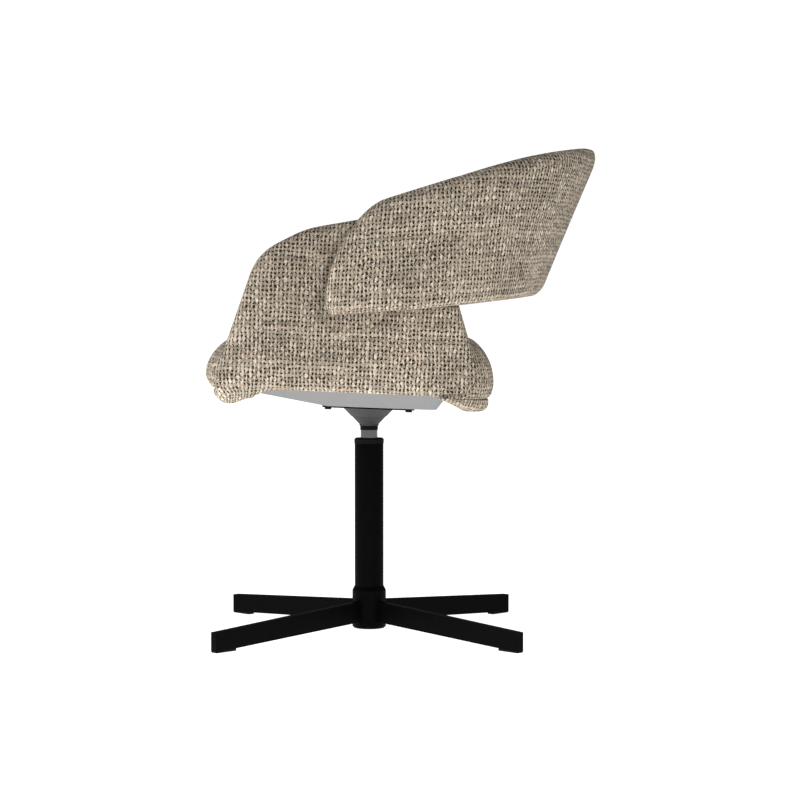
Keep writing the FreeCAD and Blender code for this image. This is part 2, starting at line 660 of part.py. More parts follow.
def wing_panel():
    front, rear, *upper = inset_corners(wing_corners(), WING_PANEL_INSET, PANEL_EDGE)
    foot = BOARD_BOTTOM + WING_LIFT + WING_PANEL_FOOT
    lower = [(front[0], foot, front[2]), (rear[0] - WING_PANEL_SETBACK, foot, front[2])]
    loop = rounded_loop(lower + upper, lambda y, z: V(WING_PANEL_INNER, y, z))
    return Part.Face(loop).extrude(V(WING_PANEL_THICKNESS, 0, 0))


def cross_rod(diameter, start, end, y, z):
    return Part.makeCylinder(diameter / 2, end - start, V(start, y, z), V(1, 0, 0))


def wing_bolts(room):
    """Bolts sunk in the wing's panel, into the edge of the seat board, with room for them all round."""
    level = (BOARD_BOTTOM + BOARD_TOP) / 2
    tip = -WING_BOLT_GRIP
    seat = WING_PANEL_OUTER - BOLT_HEAD_HEIGHT
    found = []
    for y in WING_BOLT_YS:
        shank = cross_rod(BOLT_DIAMETER + 2 * room, tip - room, seat, y, level)
        head = cross_rod(BOLT_HEAD_DIAMETER + 2 * room, seat, WING_PANEL_OUTER + room, y, level)
        found.append(shank.fuse(head).removeSplitter())
    return found


def band_bolts(room):
    """Bolts from the wing's panel out into the band's panel, with room for them all round."""
    tip = WING_THICKNESS + SOFT_CLEARANCE + (BAND_THICKNESS + BAND_PANEL_THICKNESS) / 2
    found = []
    top = WING_PANEL_INNER - BOLT_HEAD_HEIGHT - room
    for setback, lift in BAND_BOLT_PLACES:
        y = BAND_TIP + setback
        z = BAND_SIDE_BOTTOM + lift
        shank = cross_rod(BOLT_DIAMETER + 2 * room, WING_PANEL_INNER, tip + room, y, z)
        head = cross_rod(BOLT_HEAD_DIAMETER + 2 * room, top, WING_PANEL_INNER, y, z)
        found.append(shank.fuse(head).removeSplitter())
    return found


# Back band

BAND_SIDE_LEAN = math.tan(math.radians(WING_LEAN))
BAND_HALF_WIDTH = (wing_inner_face(BAND_LEVEL) + WING_THICKNESS / math.cos(math.radians(WING_LEAN))
                   + SOFT_CLEARANCE + BAND_THICKNESS)
BAND_REACH = BAND_REAR - BAND_CENTRE


def rounding(distance, run, power):
    """Share of the full size at a distance from a rounded end that runs back so far."""
    left = max(0.0, 1 - distance / run)
    return (1 - left ** power) ** (1 / power)


def band_station(x, y, normal, climb, turn):
    """A cross-section's foot, outward direction and corners (out, up, radius).

    climb is 0 at the sides and 1 at the rear, and sets the heights; turn does the same for the lean.
    """
    bottom = BAND_SIDE_BOTTOM + (BAND_REAR_BOTTOM - BAND_SIDE_BOTTOM) * climb
    top = BAND_SIDE_TOP + (BAND_REAR_TOP - BAND_SIDE_TOP) * climb
    lean = BAND_SIDE_LEAN + (math.tan(math.radians(BAND_REAR_LEAN)) - BAND_SIDE_LEAN) * turn
    from_tip = y - BAND_TIP
    top = BAND_TIP_LEVEL + (top - BAND_TIP_LEVEL) * rounding(from_tip, BAND_TIP_ROUND, BAND_TIP_POWER)
    bottom = BAND_TIP_LEVEL + (bottom - BAND_TIP_LEVEL) * rounding(from_tip, BAND_TIP_UNDER, 2)
    half = BAND_THICKNESS / 2 * rounding(from_tip, BAND_TIP_THIN, 2)
    middle_bottom = lean * (bottom - BAND_LEVEL) - BAND_THICKNESS / 2
    middle_top = lean * (top - BAND_LEVEL) - BAND_THICKNESS / 2
    top_edge = min(BAND_TOP_EDGE, BAND_EDGE_SHARE * half)
    bottom_edge = min(BAND_BOTTOM_EDGE, BAND_EDGE_SHARE * half)
    corners = [(middle_bottom - half, bottom, bottom_edge), (middle_bottom + half, bottom, bottom_edge),
               (middle_top + half, top, top_edge), (middle_top - half, top, top_edge)]
    return V(x, y, 0), normal, corners


def band_side(setback, shares):
    """Stations along the straight run on the +X side, at shares of it behind a setback from the tip."""
    start = BAND_TIP + setback
    found = []
    for share in shares:
        y = start + (BAND_CENTRE - start) * share
        found.append(band_station(BAND_HALF_WIDTH, y, V(1, 0, 0), (y - BAND_CENTRE) / BAND_REACH, 0.0))
    return found


def band_bend():
    """Stations round the half ellipse, from the +X side at 0 to the rear at 90 and on to the other side."""
    found = []
    for angle in range(0, 181, BAND_ANGLE_STEP):
        turn = math.radians(angle)
        x = BAND_HALF_WIDTH * math.cos(turn)
        y = BAND_CENTRE + BAND_REACH * math.sin(turn)
        normal = V(math.cos(turn) / BAND_HALF_WIDTH, math.sin(turn) / BAND_REACH, 0).normalize()
        found.append(band_station(x, y, normal, math.sin(turn), math.sin(turn) ** 2))
    return found


def opposite(stations):
    """The same stations on the -X side, in the order in which a loft reaches them."""
    found = []
    for foot, out, corners in reversed(stations):
        found.append((V(-foot.x, foot.y, 0), V(-out.x, out.y, 0), corners))
    return found


def band_loft(stations, inset):
    loops = []
    for foot, out, corners in stations:
        shrunk = inset_corners(corners, inset, PANEL_EDGE)
        loops.append(rounded_loop(shrunk, lambda u, v: foot + out * u + V(0, 0, v)))
    return Part.makeLoft(loops, True, False)


def band_form(growth):
    """The whole padded band, swollen by a growth."""
    side = band_side(0, BAND_SIDE_SHARES)
    return band_loft(side + band_bend() + opposite(side), -growth)


def band_panel():
    """Curved panel in the middle of the band, which stops short of the thin ends."""
    side = band_side(BAND_PANEL_SETBACK, BAND_PANEL_SHARES)
    return band_loft(side + band_bend() + opposite(side), (BAND_THICKNESS - BAND_PANEL_THICKNESS) / 2)


# The whole chair

def base_pieces():
    pieces = {"base_hub": base_hub(), "column_tube": column_tube(), "column_plug": column_plug(),
              "lower_bush": lower_bush(), "upper_bush": upper_bush()}
    for index in range(ARM_COUNT):
        turn = 360.0 / ARM_COUNT * (index + 0.5)
        for name, shape in (("base_arm", base_arm()), ("foot_glide", foot_glide())):
            shape.rotate(V(0, 0, 0), V(0, 0, 1), turn)
            pieces["%s_%d" % (name, index + 1)] = shape
    pieces["lower_race"] = ring(RACE_DIAMETER, RACE_BORE, PLUG_TOP, LOWER_RACE_TOP)
    pieces["bearing_balls"] = Part.makeCompound(balls(BALL_DIAMETER))
    pieces["bearing_cage"] = bearing_cage()
    return pieces


def spindle_pieces():
    return {"upper_race": ring(RACE_DIAMETER, RACE_BORE, UPPER_RACE_BOTTOM, SHOULDER),
            "spindle": spindle(),
            "retaining_washer": ring(WASHER_DIAMETER, STUB_DIAMETER, CIRCLIP_TOP, WASHER_TOP),
            "circlip": circlip(),
            "spindle_ring": spindle_ring(),
            "lower_funnel": lower_funnel(),
            "upper_funnel": upper_funnel(),
            "plate_socket": plate_socket(),
            "seat_plate": seat_plate(),
            "underseat_pan": underseat_pan()}


def both_sides(shapes):
    """Wing fittings, set beside the seat on the left and on the right."""
    left = [leaned(shape) for shape in shapes]
    return left + [mirrored(shape) for shape in left]


def seat_pieces():
    pieces = {"seat_bolts": Part.makeCompound(at_bolts(seat_bolt())),
              "spacer_sleeves": Part.makeCompound(spacer_sleeves()),
              "threaded_inserts": Part.makeCompound(at_bolts(threaded_insert().cut(bolt_hole()))),
              "seat_cushion": seat_cushion(),
              "front_roll": front_roll(),
              "rear_roll": rear_roll()}
    board_holes = at_bolts(threaded_insert()) + both_sides(wing_bolts(BOLT_CLEARANCE))
    pieces["seat_board"] = without(seat_board(), board_holes)
    wing_holes = wing_bolts(HEAD_POCKET) + band_bolts(HEAD_POCKET)
    panel_holes = wing_bolts(BOLT_CLEARANCE) + band_bolts(BOLT_CLEARANCE)
    panel = leaned(without(wing_panel(), panel_holes)).cut(band_form(WING_PANEL_INSET))
    wing = leaned(without(wing_form(), [wing_panel()] + wing_holes)).cut(band_form(SOFT_CLEARANCE))
    side_pieces = {"wing": wing,
                   "wing_panel": panel,
                   "wing_bolts": leaned(Part.makeCompound(wing_bolts(0))),
                   "band_bolts": leaned(Part.makeCompound(band_bolts(0)))}
    for name, shape in side_pieces.items():
        pieces[name + "_left"] = shape
        pieces[name + "_right"] = mirrored(shape)
    band_holes = both_sides(band_bolts(BOLT_CLEARANCE))
    pieces["band_panel"] = without(band_panel(), band_holes)
    pieces["back_band"] = without(band_form(0), [band_panel()] + band_holes)
    return {name: raked(shape) for name, shape in pieces.items()}


def main():
    os.makedirs("parts", exist_ok=True)
    pieces = {**base_pieces(), **spindle_pieces(), **seat_pieces()}
    box = Part.makeCompound(list(pieces.values())).optimalBoundingBox(False)
    shift = -(box.YMin + box.YMax) / 2
    print("box %.2f x %.2f x %.2f, bottom %.3f" % (box.XLength, box.YLength, box.ZLength, box.ZMin))
    print("swivel axis at y = %.4f" % shift)
    for name, shape in pieces.items():
        shape.translate(V(0, shift, 0))
        solids = len(shape.Solids)
        print("%-18s solids %d valid %s volume %.1f" % (name, solids, shape.isValid(), shape.Volume))
        shape.exportStep("parts/%s.step" % name)


main()
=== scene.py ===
import math

import bpy
import numpy as np
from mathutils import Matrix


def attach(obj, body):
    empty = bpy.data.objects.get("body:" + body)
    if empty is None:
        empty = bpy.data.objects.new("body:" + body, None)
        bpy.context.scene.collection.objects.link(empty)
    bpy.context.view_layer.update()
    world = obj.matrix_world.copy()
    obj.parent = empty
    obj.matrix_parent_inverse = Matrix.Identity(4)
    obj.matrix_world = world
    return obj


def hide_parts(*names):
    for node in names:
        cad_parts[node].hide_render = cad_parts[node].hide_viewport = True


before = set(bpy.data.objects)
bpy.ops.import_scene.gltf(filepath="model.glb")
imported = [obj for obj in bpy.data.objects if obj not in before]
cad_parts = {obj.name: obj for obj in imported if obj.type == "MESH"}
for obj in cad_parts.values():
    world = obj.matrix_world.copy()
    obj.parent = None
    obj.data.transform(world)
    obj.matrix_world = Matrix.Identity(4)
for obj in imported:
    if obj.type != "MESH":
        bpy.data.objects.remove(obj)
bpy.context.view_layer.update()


# Cross base and column: four flat bars and a hub sleeve of mild steel, welded together, with the column
# tube pressed into the sleeve. All of it is under one black powder coat, satin and slightly pebbled.

def add_node(tree, kind, inputs=None, **settings):
    """A node of a kind with its settings; each input takes a value or another node's output."""
    made = tree.nodes.new(kind)
    for name, value in settings.items():
        setattr(made, name, value)
    for socket, value in (inputs or {}).items():
        if isinstance(value, bpy.types.NodeSocket):
            tree.links.new(value, made.inputs[socket])
        else:
            made.inputs[socket].default_value = value
    return made


def blend_colours(tree, share, first, second, way="MIX"):
    """The colour that lies a share of the way from the first colour to the second."""
    mixed = add_node(tree, "ShaderNodeMix", data_type="RGBA", blend_type=way)
    for socket, value in ((mixed.inputs[0], share), (mixed.inputs[6], first), (mixed.inputs[7], second)):
        if isinstance(value, bpy.types.NodeSocket):
            tree.links.new(value, socket)
        else:
            socket.default_value = value
    return mixed.outputs[2]


def between(tree, value, low, high):
    """A value from 0 to 1 carried over to the range from low to high."""
    return add_node(tree, "ShaderNodeMapRange", {"Value": value, "To Min": low, "To Max": high}).outputs["Result"]


def surface_grain_group():
    """Two scales of noise: Tone drifts over tens of millimetres, and Grain is the pebble of the skin."""
    tree = bpy.data.node_groups.new("surface_grain", "ShaderNodeTree")
    tree.interface.new_socket("Place", in_out="INPUT", socket_type="NodeSocketVector")
    tree.interface.new_socket("Grains per metre", in_out="INPUT", socket_type="NodeSocketFloat")
    for name in ("Tone", "Grain"):
        tree.interface.new_socket(name, in_out="OUTPUT", socket_type="NodeSocketFloat")
    given = add_node(tree, "NodeGroupInput").outputs
    drift = add_node(tree, "ShaderNodeTexNoise", {"Vector": given["Place"], "Scale": 45.0, "Detail": 3.0})
    pebble = add_node(tree, "ShaderNodeTexNoise",
                      {"Vector": given["Place"], "Scale": given["Grains per metre"], "Detail": 2.0})
    add_node(tree, "NodeGroupOutput", {"Tone": drift.outputs["Fac"], "Grain": pebble.outputs["Fac"]})
    return tree


surface_grain = surface_grain_group()


def skin_finish(name, dark, light, smooth, rough, grains, depth, edge, **shader_values):
    """A painted or moulded skin: the colour and the roughness drift between two values, the grain
    stands up by a depth, and the normal is rounded over every edge."""
    material = bpy.data.materials.new(name)
    material.use_nodes = True
    tree = material.node_tree
    shader = tree.nodes["Principled BSDF"]
    place = add_node(tree, "ShaderNodeTexCoord").outputs["Object"]
    skin = add_node(tree, "ShaderNodeGroup", node_tree=surface_grain)
    tree.links.new(place, skin.inputs["Place"])
    skin.inputs["Grains per metre"].default_value = grains
    tree.links.new(blend_colours(tree, skin.outputs["Tone"], dark, light), shader.inputs["Base Color"])
    tree.links.new(between(tree, skin.outputs["Tone"], smooth, rough), shader.inputs["Roughness"])
    round_edge = add_node(tree, "ShaderNodeBevel", {"Radius": edge}, samples=4)
    pebbled = add_node(tree, "ShaderNodeBump", {"Height": skin.outputs["Grain"], "Distance": depth,
                                                "Strength": 0.6, "Normal": round_edge.outputs["Normal"]})
    tree.links.new(pebbled.outputs["Normal"], shader.inputs["Normal"])
    for socket, value in shader_values.items():
        shader.inputs[socket.replace("_", " ")].default_value = value
    return material


def coat(material, *names):
    """The named CAD pieces take the finish."""
    for name in names:
        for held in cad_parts[name].material_slots:
            held.material = material


powder_coat = skin_finish("powder_coat", (0.0012, 0.0012, 0.0014, 1), (0.0022, 0.0022, 0.0025, 1), 0.36, 0.5,
                          900.0, 0.00012, 0.0011, Specular_IOR_Level=0.02)
coat(powder_coat, "base_hub", "column_tube", "column_plug", "base_arm_1", "base_arm_2", "base_arm_3", "base_arm_4")


# Glides and guide bushes: moulded black plastic. Each glide is pushed under the end of a bar, one bush is
# pressed into the middle of the column, and the other caps it.

moulded_black = skin_finish("moulded_black", (0.003, 0.003, 0.0033, 1), (0.0055, 0.0055, 0.006, 1), 0.5, 0.66,
                            1600.0, 0.00018, 0.0009, Specular_IOR_Level=0.08)
coat(moulded_black, "foot_glide_1", "foot_glide_2", "foot_glide_3", "foot_glide_4", "lower_bush", "upper_bush",
     "spindle_ring")


# Thrust bearing and keepers: ground steel rings, balls and cage on the column's plug, with a washer and a
# spring clip under it. The sleeves and inserts of the seat bolts are of the same bright steel.

def turned_metal(name, dark, light, smooth, rough, lines):
    """Turned or ground metal: fine rings round the upright axis, drawn by noise that runs along Z alone."""
    material = bpy.data.materials.new(name)
    material.use_nodes = True
    tree = material.node_tree
    shader = tree.nodes["Principled BSDF"]
    place = add_node(tree, "ShaderNodeTexCoord").outputs["Object"]
    flat = add_node(tree, "ShaderNodeMapping", {"Vector": place, "Scale": (0.02, 0.02, 1.0)}).outputs["Vector"]
    rings = add_node(tree, "ShaderNodeTexNoise", {"Vector": flat, "Scale": lines, "Detail": 2.0}).outputs["Fac"]
    tree.links.new(blend_colours(tree, rings, dark, light), shader.inputs["Base Color"])
    tree.links.new(between(tree, rings, smooth, rough), shader.inputs["Roughness"])
    raised = add_node(tree, "ShaderNodeBump", {"Height": rings, "Distance": 0.00004, "Strength": 0.4})
    tree.links.new(raised.outputs["Normal"], shader.inputs["Normal"])
    shader.inputs["Metallic"].default_value = 1.0
    return material


bright_steel = turned_metal("bright_steel", (0.42, 0.42, 0.43, 1), (0.56, 0.56, 0.57, 1), 0.22, 0.36, 2600.0)
coat(bright_steel, "lower_race", "upper_race", "bearing_balls", "bearing_cage", "retaining_washer", "circlip",
     "spacer_sleeves", "threaded_inserts")


# Spindle: ground and chromed bar that turns in the two bushes and carries the seat on its taper.

chrome_plate = turned_metal("chrome_plate", (0.15, 0.15, 0.158, 1), (0.20, 0.20, 0.208, 1), 0.06, 0.13, 3600.0)
coat(chrome_plate, "spindle")


# Seat plate and bolts: pressed steel plate with the taper socket welded in, under the same powder coat, and
# hexagon bolts with a dull black oxide skin that hold the plate, the wings and the band.

coat(powder_coat, "seat_plate", "plate_socket")
black_oxide = skin_finish("black_oxide", (0.008, 0.008, 0.009, 1), (0.016, 0.016, 0.018, 1), 0.34, 0.52,
                          2200.0, 0.00008, 0.0004, Metallic=0.7)
coat(black_oxide, "seat_bolts", "wing_bolts_left", "wing_bolts_right", "band_bolts_left", "band_bolts_right")


# Two-stage funnel and pan under the seat: moulded grey plastics, each a little lighter than the one below.
# The funnels slide up the spindle, and the pan is held between the seat plate and the seat board.

coat(skin_finish("dark_grey_plastic", (0.028, 0.028, 0.0294, 1), (0.0345, 0.0345, 0.036, 1), 0.52, 0.64,
                 1500.0, 0.00015, 0.0012, Specular_IOR_Level=0.3), "lower_funnel")
coat(skin_finish("mid_grey_plastic", (0.037, 0.037, 0.0384, 1), (0.0445, 0.0445, 0.046, 1), 0.52, 0.64,
                 1500.0, 0.00015, 0.0012, Specular_IOR_Level=0.3), "upper_funnel")
coat(skin_finish("light_grey_plastic", (0.212, 0.216, 0.22, 1), (0.236, 0.24, 0.244, 1), 0.5, 0.62,
                 1300.0, 0.00018, 0.0016, Specular_IOR_Level=0.3), "underseat_pan")


# Seat board and hidden panels: plywood, cut flat for the seat and the wings and pressed to a bend for the
# band. The wings are bolted to the board's sides, and the band to the wings.

def plywood_finish():
    """Long grain along X with rays, and dark glue lines through the thickness along Z."""
    material = bpy.data.materials.new("plywood")
    material.use_nodes = True
    tree = material.node_tree
    shader = tree.nodes["Principled BSDF"]
    place = add_node(tree, "ShaderNodeTexCoord").outputs["Object"]
    long = add_node(tree, "ShaderNodeMapping", {"Vector": place, "Scale": (3.0, 40.0, 40.0)}).outputs["Vector"]
    grain = add_node(tree, "ShaderNodeTexNoise", {"Vector": long, "Scale": 6.0, "Detail": 6.0}).outputs["Fac"]
    layers = add_node(tree, "ShaderNodeTexWave", {"Vector": place, "Scale": 105.0, "Distortion": 0.4},
                      bands_direction="Z").outputs["Fac"]
    wood = blend_colours(tree, grain, (0.36, 0.22, 0.11, 1), (0.58, 0.41, 0.24, 1))
    tree.links.new(blend_colours(tree, between(tree, layers, 0.0, 0.25), wood, (0.16, 0.09, 0.045, 1)),
                   shader.inputs["Base Color"])
    tree.links.new(between(tree, grain, 0.5, 0.72), shader.inputs["Roughness"])
    raised = add_node(tree, "ShaderNodeBump", {"Height": grain, "Distance": 0.0003, "Strength": 0.4})
    tree.links.new(raised.outputs["Normal"], shader.inputs["Normal"])
    return material


coat(plywood_finish(), "seat_board", "wing_panel_left", "wing_panel_right", "band_panel")


# Wings: a plywood panel in moulded foam on each side of the seat, covered in chunky tweed and bolted to the
# seat board. The cover runs on under the seat's front corner, and turns in round the seat's rear corner.

WARP_PITCH = 0.0062      # metres between neighbouring yarns of the tweed
WEFT_PITCH = 0.0067


def tweed_weave_group():
    """Chunky plain weave. In weave coordinates each cell holds one crossing of a cream warp and a taupe
    weft; the warp lies on top where the cell's column plus row is odd, or where a random cell skips a
    crossing. A yarn's height is a half ellipse across it plus a cosine along it. The colour carries
    painted shade: the yarns darken down their low flanks to near-black in the holes where neither yarn
    covers the cell, and each yarn's crest is painted lighter than its flanks."""
    tree = bpy.data.node_groups.new("tweed_weave", "ShaderNodeTree")
    tree.interface.new_socket("Weave", in_out="INPUT", socket_type="NodeSocketVector")
    tree.interface.new_socket("Color", in_out="OUTPUT", socket_type="NodeSocketColor")
    tree.interface.new_socket("Height", in_out="OUTPUT", socket_type="NodeSocketFloat")
    tree.interface.new_socket("Roughness", in_out="OUTPUT", socket_type="NodeSocketFloat")
    cloth = add_node(tree, "NodeGroupInput").outputs["Weave"]

    def calculate(operation, *values):
        made = tree.nodes.new("ShaderNodeMath")
        made.operation = operation
        for index, value in enumerate(values):
            if isinstance(value, bpy.types.NodeSocket):
                tree.links.new(value, made.inputs[index])
            else:
                made.inputs[index].default_value = value
        return made.outputs[0]

    def parts(vector):
        return add_node(tree, "ShaderNodeSeparateXYZ", {"Vector": vector}).outputs

    def together(x, y, z=0.0):
        return add_node(tree, "ShaderNodeCombineXYZ", {"X": x, "Y": y, "Z": z}).outputs["Vector"]

    def drift(vector, scale, detail=1.0):
        return add_node(tree, "ShaderNodeTexNoise", {"Vector": vector, "Scale": scale, "Detail": detail},
                        noise_dimensions="2D")

    def chance(vector):
        return add_node(tree, "ShaderNodeTexWhiteNoise", {"Vector": vector}, noise_dimensions="2D")

    def slub(x, x_scale, y, y_scale):
        """Thick and thin places of the yarns: noise that runs slowly along a yarn and is new in the next one."""
        place = together(calculate("MULTIPLY", x, x_scale), calculate("MULTIPLY", y, y_scale))
        return drift(place, 1.0).outputs["Fac"]

    def swayed(along, pitch, wide, narrow, crimp):
        """The count of yarns along an axis, swayed by noise of three sizes so that no yarn runs straight."""
        moved = calculate("DIVIDE", along, pitch)
        moved = calculate("MULTIPLY_ADD", wide, 0.7, moved)
        moved = calculate("MULTIPLY_ADD", narrow, 0.5, moved)
        return calculate("MULTIPLY_ADD", crimp, 0.75, moved)

    run = parts(cloth)
    wide = add_node(tree, "ShaderNodeSeparateColor", {"Color": drift(cloth, 16.0).outputs["Color"]}).outputs
    narrow = add_node(tree, "ShaderNodeSeparateColor", {"Color": drift(cloth, 95.0).outputs["Color"]}).outputs
    crimp = add_node(tree, "ShaderNodeSeparateColor", {"Color": drift(cloth, 260.0).outputs["Color"]}).outputs
    across = swayed(run["X"], WARP_PITCH, wide["Red"], narrow["Red"], crimp["Red"])
    up = swayed(run["Y"], WEFT_PITCH, wide["Green"], narrow["Green"], crimp["Green"])
    column, row = calculate("FLOOR", across), calculate("FLOOR", up)
    beside = calculate("SUBTRACT", calculate("FRACT", across), 0.5)
    above = calculate("SUBTRACT", calculate("FRACT", up), 0.5)

    cell = chance(together(column, row))
    cell_shade = add_node(tree, "ShaderNodeSeparateColor", {"Color": cell.outputs["Color"]}).outputs
    warp_shade = add_node(tree, "ShaderNodeSeparateColor",
                          {"Color": chance(together(column, 71.0)).outputs["Color"]}).outputs
    weft_shade = add_node(tree, "ShaderNodeSeparateColor",
                          {"Color": chance(together(37.0, row)).outputs["Color"]}).outputs
    warp_slub = slub(column, 7.31, up, 0.16)
    weft_slub = slub(across, 0.12, row, 5.77)

    warp_up = calculate("FLOORED_MODULO", calculate("ADD", column, row), 2.0)
    warp_up = calculate("MAXIMUM", warp_up, calculate("LESS_THAN", cell.outputs["Value"], 0.16))
    warp_up = calculate("MINIMUM", warp_up, calculate("LESS_THAN", cell.outputs["Value"], 0.94))
    side = calculate("MULTIPLY_ADD", warp_up, 2.0, -1.0)

    def yarn(offset, width, over, along):
        """Height of a yarn at an offset from its middle, -1 beside it."""
        share = calculate("DIVIDE", offset, width)
        curve = calculate("SUBTRACT", 1.0, calculate("MULTIPLY", share, share))
        body = calculate("SQRT", calculate("MAXIMUM", curve, 0.0))
        crossing = calculate("MULTIPLY", over, calculate("COSINE", calculate("MULTIPLY", along, math.pi)))
        height = calculate("MULTIPLY_ADD", crossing, 0.5, calculate("MULTIPLY", body, 0.5))
        inside = calculate("GREATER_THAN", curve, 0.0)
        return calculate("SUBTRACT", calculate("MULTIPLY", calculate("ADD", height, 1.0), inside), 1.0)

    def half_width(slubs, shade):
        """Half of a yarn's width, as a share of the cell."""
        return calculate("MULTIPLY_ADD", slubs, 0.20, calculate("MULTIPLY_ADD", shade, 0.06, 0.136))

    warp = yarn(beside, half_width(warp_slub, warp_shade["Green"]), side, above)
    weft = yarn(above, half_width(weft_slub, weft_shade["Green"]), calculate("MULTIPLY", side, -1.0), beside)
    warp_shows = calculate("GREATER_THAN", warp, weft)
    height = calculate("MAXIMUM", calculate("MAXIMUM", warp, weft), -0.7)

    cream_share = calculate("MULTIPLY_ADD", warp_slub, 0.9, calculate("MULTIPLY", warp_shade["Red"], 0.3))
    taupe_share = calculate("MULTIPLY_ADD", weft_slub, 0.8, calculate("MULTIPLY", weft_shade["Red"], 0.4))
    cream = blend_colours(tree, cream_share, (0.332, 0.278, 0.212, 1), (0.572, 0.505, 0.411, 1))
    taupe = blend_colours(tree, taupe_share, (0.215, 0.17, 0.125, 1), (0.395, 0.33, 0.253, 1))
    tinted = calculate("MULTIPLY", calculate("GREATER_THAN", weft_slub, 0.75), 0.5)
    taupe = blend_colours(tree, tinted, taupe, (0.42, 0.27, 0.18, 1))
    yarns = blend_colours(tree, warp_shows, taupe, cream)
    streak = slub(across, 0.07, row, 3.13)
    fibre = drift(cloth, 520.0, 2.0).outputs["Fac"]
    # Yarn tone that varies at random by cell, by fibre and in streaks along the rows, plus painted shading from the
    # height term, which makes each yarn's crest lighter and its flanks darker.
    tone_and_crest_shade = calculate("MULTIPLY_ADD", cell_shade["Green"], 0.24, calculate("MULTIPLY_ADD", fibre, 1.45, -0.495))
    tone_and_crest_shade = calculate("MULTIPLY_ADD", streak, 0.80, tone_and_crest_shade)
    tone_and_crest_shade = calculate("MULTIPLY_ADD", height, 0.35, tone_and_crest_shade)
    yarns = blend_colours(tree, 1.0, yarns, add_node(tree, "ShaderNodeCombineColor",
                          {"Red": tone_and_crest_shade, "Green": tone_and_crest_shade, "Blue": tone_and_crest_shade}).outputs["Color"], "MULTIPLY")
    # Painted shade: the yarn colour fades to near-black down the yarns' low flanks and in the holes where neither
    # yarn covers the cell.
    unshaded_share = add_node(tree, "ShaderNodeMapRange", {"Value": height, "From Min": -0.45, "From Max": 0.25},
                   interpolation_type="SMOOTHSTEP").outputs["Result"]
    painted_shade_yarns = blend_colours(tree, unshaded_share, (0.022, 0.016, 0.010, 1), yarns)
    add_node(tree, "NodeGroupOutput", {
        "Color": painted_shade_yarns,
        "Height": calculate("MULTIPLY_ADD", fibre, 0.25, calculate("MULTIPLY_ADD", height, 0.5, 0.5)),
        "Roughness": calculate("MULTIPLY_ADD", fibre, 0.18, 0.80)})
    return tree


def tweed_finish():
    """The weave on the piece's own weave map, with its yarns standing up by about a millimetre."""
    material = bpy.data.materials.new("tweed")
    material.use_nodes = True
    tree = material.node_tree
    shader = tree.nodes["Principled BSDF"]
    weave = add_node(tree, "ShaderNodeGroup", node_tree=tweed_weave_group())
    tree.links.new(add_node(tree, "ShaderNodeUVMap", uv_map="weave").outputs["UV"], weave.inputs["Weave"])
    tree.links.new(weave.outputs["Color"], shader.inputs["Base Color"])
    tree.links.new(weave.outputs["Roughness"], shader.inputs["Roughness"])
    raised = add_node(tree, "ShaderNodeBump",
                      {"Height": weave.outputs["Height"], "Distance": 0.0011, "Strength": 0.7})
    tree.links.new(raised.outputs["Normal"], shader.inputs["Normal"])
    shader.inputs["Specular IOR Level"].default_value = 0.12
    shader.inputs["Sheen Weight"].default_value = 0.02
    shader.inputs["Sheen Roughness"].default_value = 0.55
    return material


tweed = tweed_finish()

SEAT_RAKE = math.radians(2.2)
SEAT_LEVEL = 376.0       # millimetres from the floor to the seat plate's upper face, on the swivel axis
SWIVEL_AXIS_Y = -56.0842


def on_the_chair(points):
    """Points of the level seat, in millimetres from the swivel axis and the seat plate, turned back about X
    by the rake, lifted to the plate and given in metres."""
    x, y, z = points[..., 0], points[..., 1], points[..., 2]
    sine, cosine = math.sin(SEAT_RAKE), math.cos(SEAT_RAKE)
    return np.stack([x, y * cosine + z * sine + SWIVEL_AXIS_Y, z * cosine - y * sine + SEAT_LEVEL], -1) / 1000.0


def rounded_outline(corners, count):
    """A closed outline through (a, b, radius) corners: each corner is an arc that touches both its sides,
    and the whole is divided into equal steps of length."""
    places = np.array([c[:2] for c in corners], float)
    radii = np.array([c[2] for c in corners], float)
    before, after = np.roll(places, 1, 0) - places, np.roll(places, -1, 0) - places
    before /= np.linalg.norm(before, axis=1)[:, None]
    after /= np.linalg.norm(after, axis=1)[:, None]
    half = np.arccos(np.clip((before * after).sum(1), -1, 1)) / 2
    middle = before + after
    middle /= np.linalg.norm(middle, axis=1)[:, None]
    centres = places + middle * (radii / np.sin(half))[:, None]
    share = np.linspace(0, 1, 33)[None, :, None]
    reach = radii / np.tan(half)
    first = places + before * reach[:, None] - centres
    last = places + after * reach[:, None] - centres
    turn = (math.pi - 2 * half)[:, None, None]
    safe = np.maximum(np.sin(turn), 1e-9)
    swept = np.sin((1 - share) * turn) * first[:, None] + np.sin(share * turn) * last[:, None]
    arcs = centres[:, None] + swept / safe
    path = np.concatenate([arcs.reshape(-1, 2), arcs[0, :1]])
    length = np.concatenate([[0], np.cumsum(np.linalg.norm(np.diff(path, axis=0), axis=1))])
    steps = np.linspace(0, length[-1], count + 1)
    return np.stack([np.interp(steps, length, path[:, 0]), np.interp(steps, length, path[:, 1])], 1)


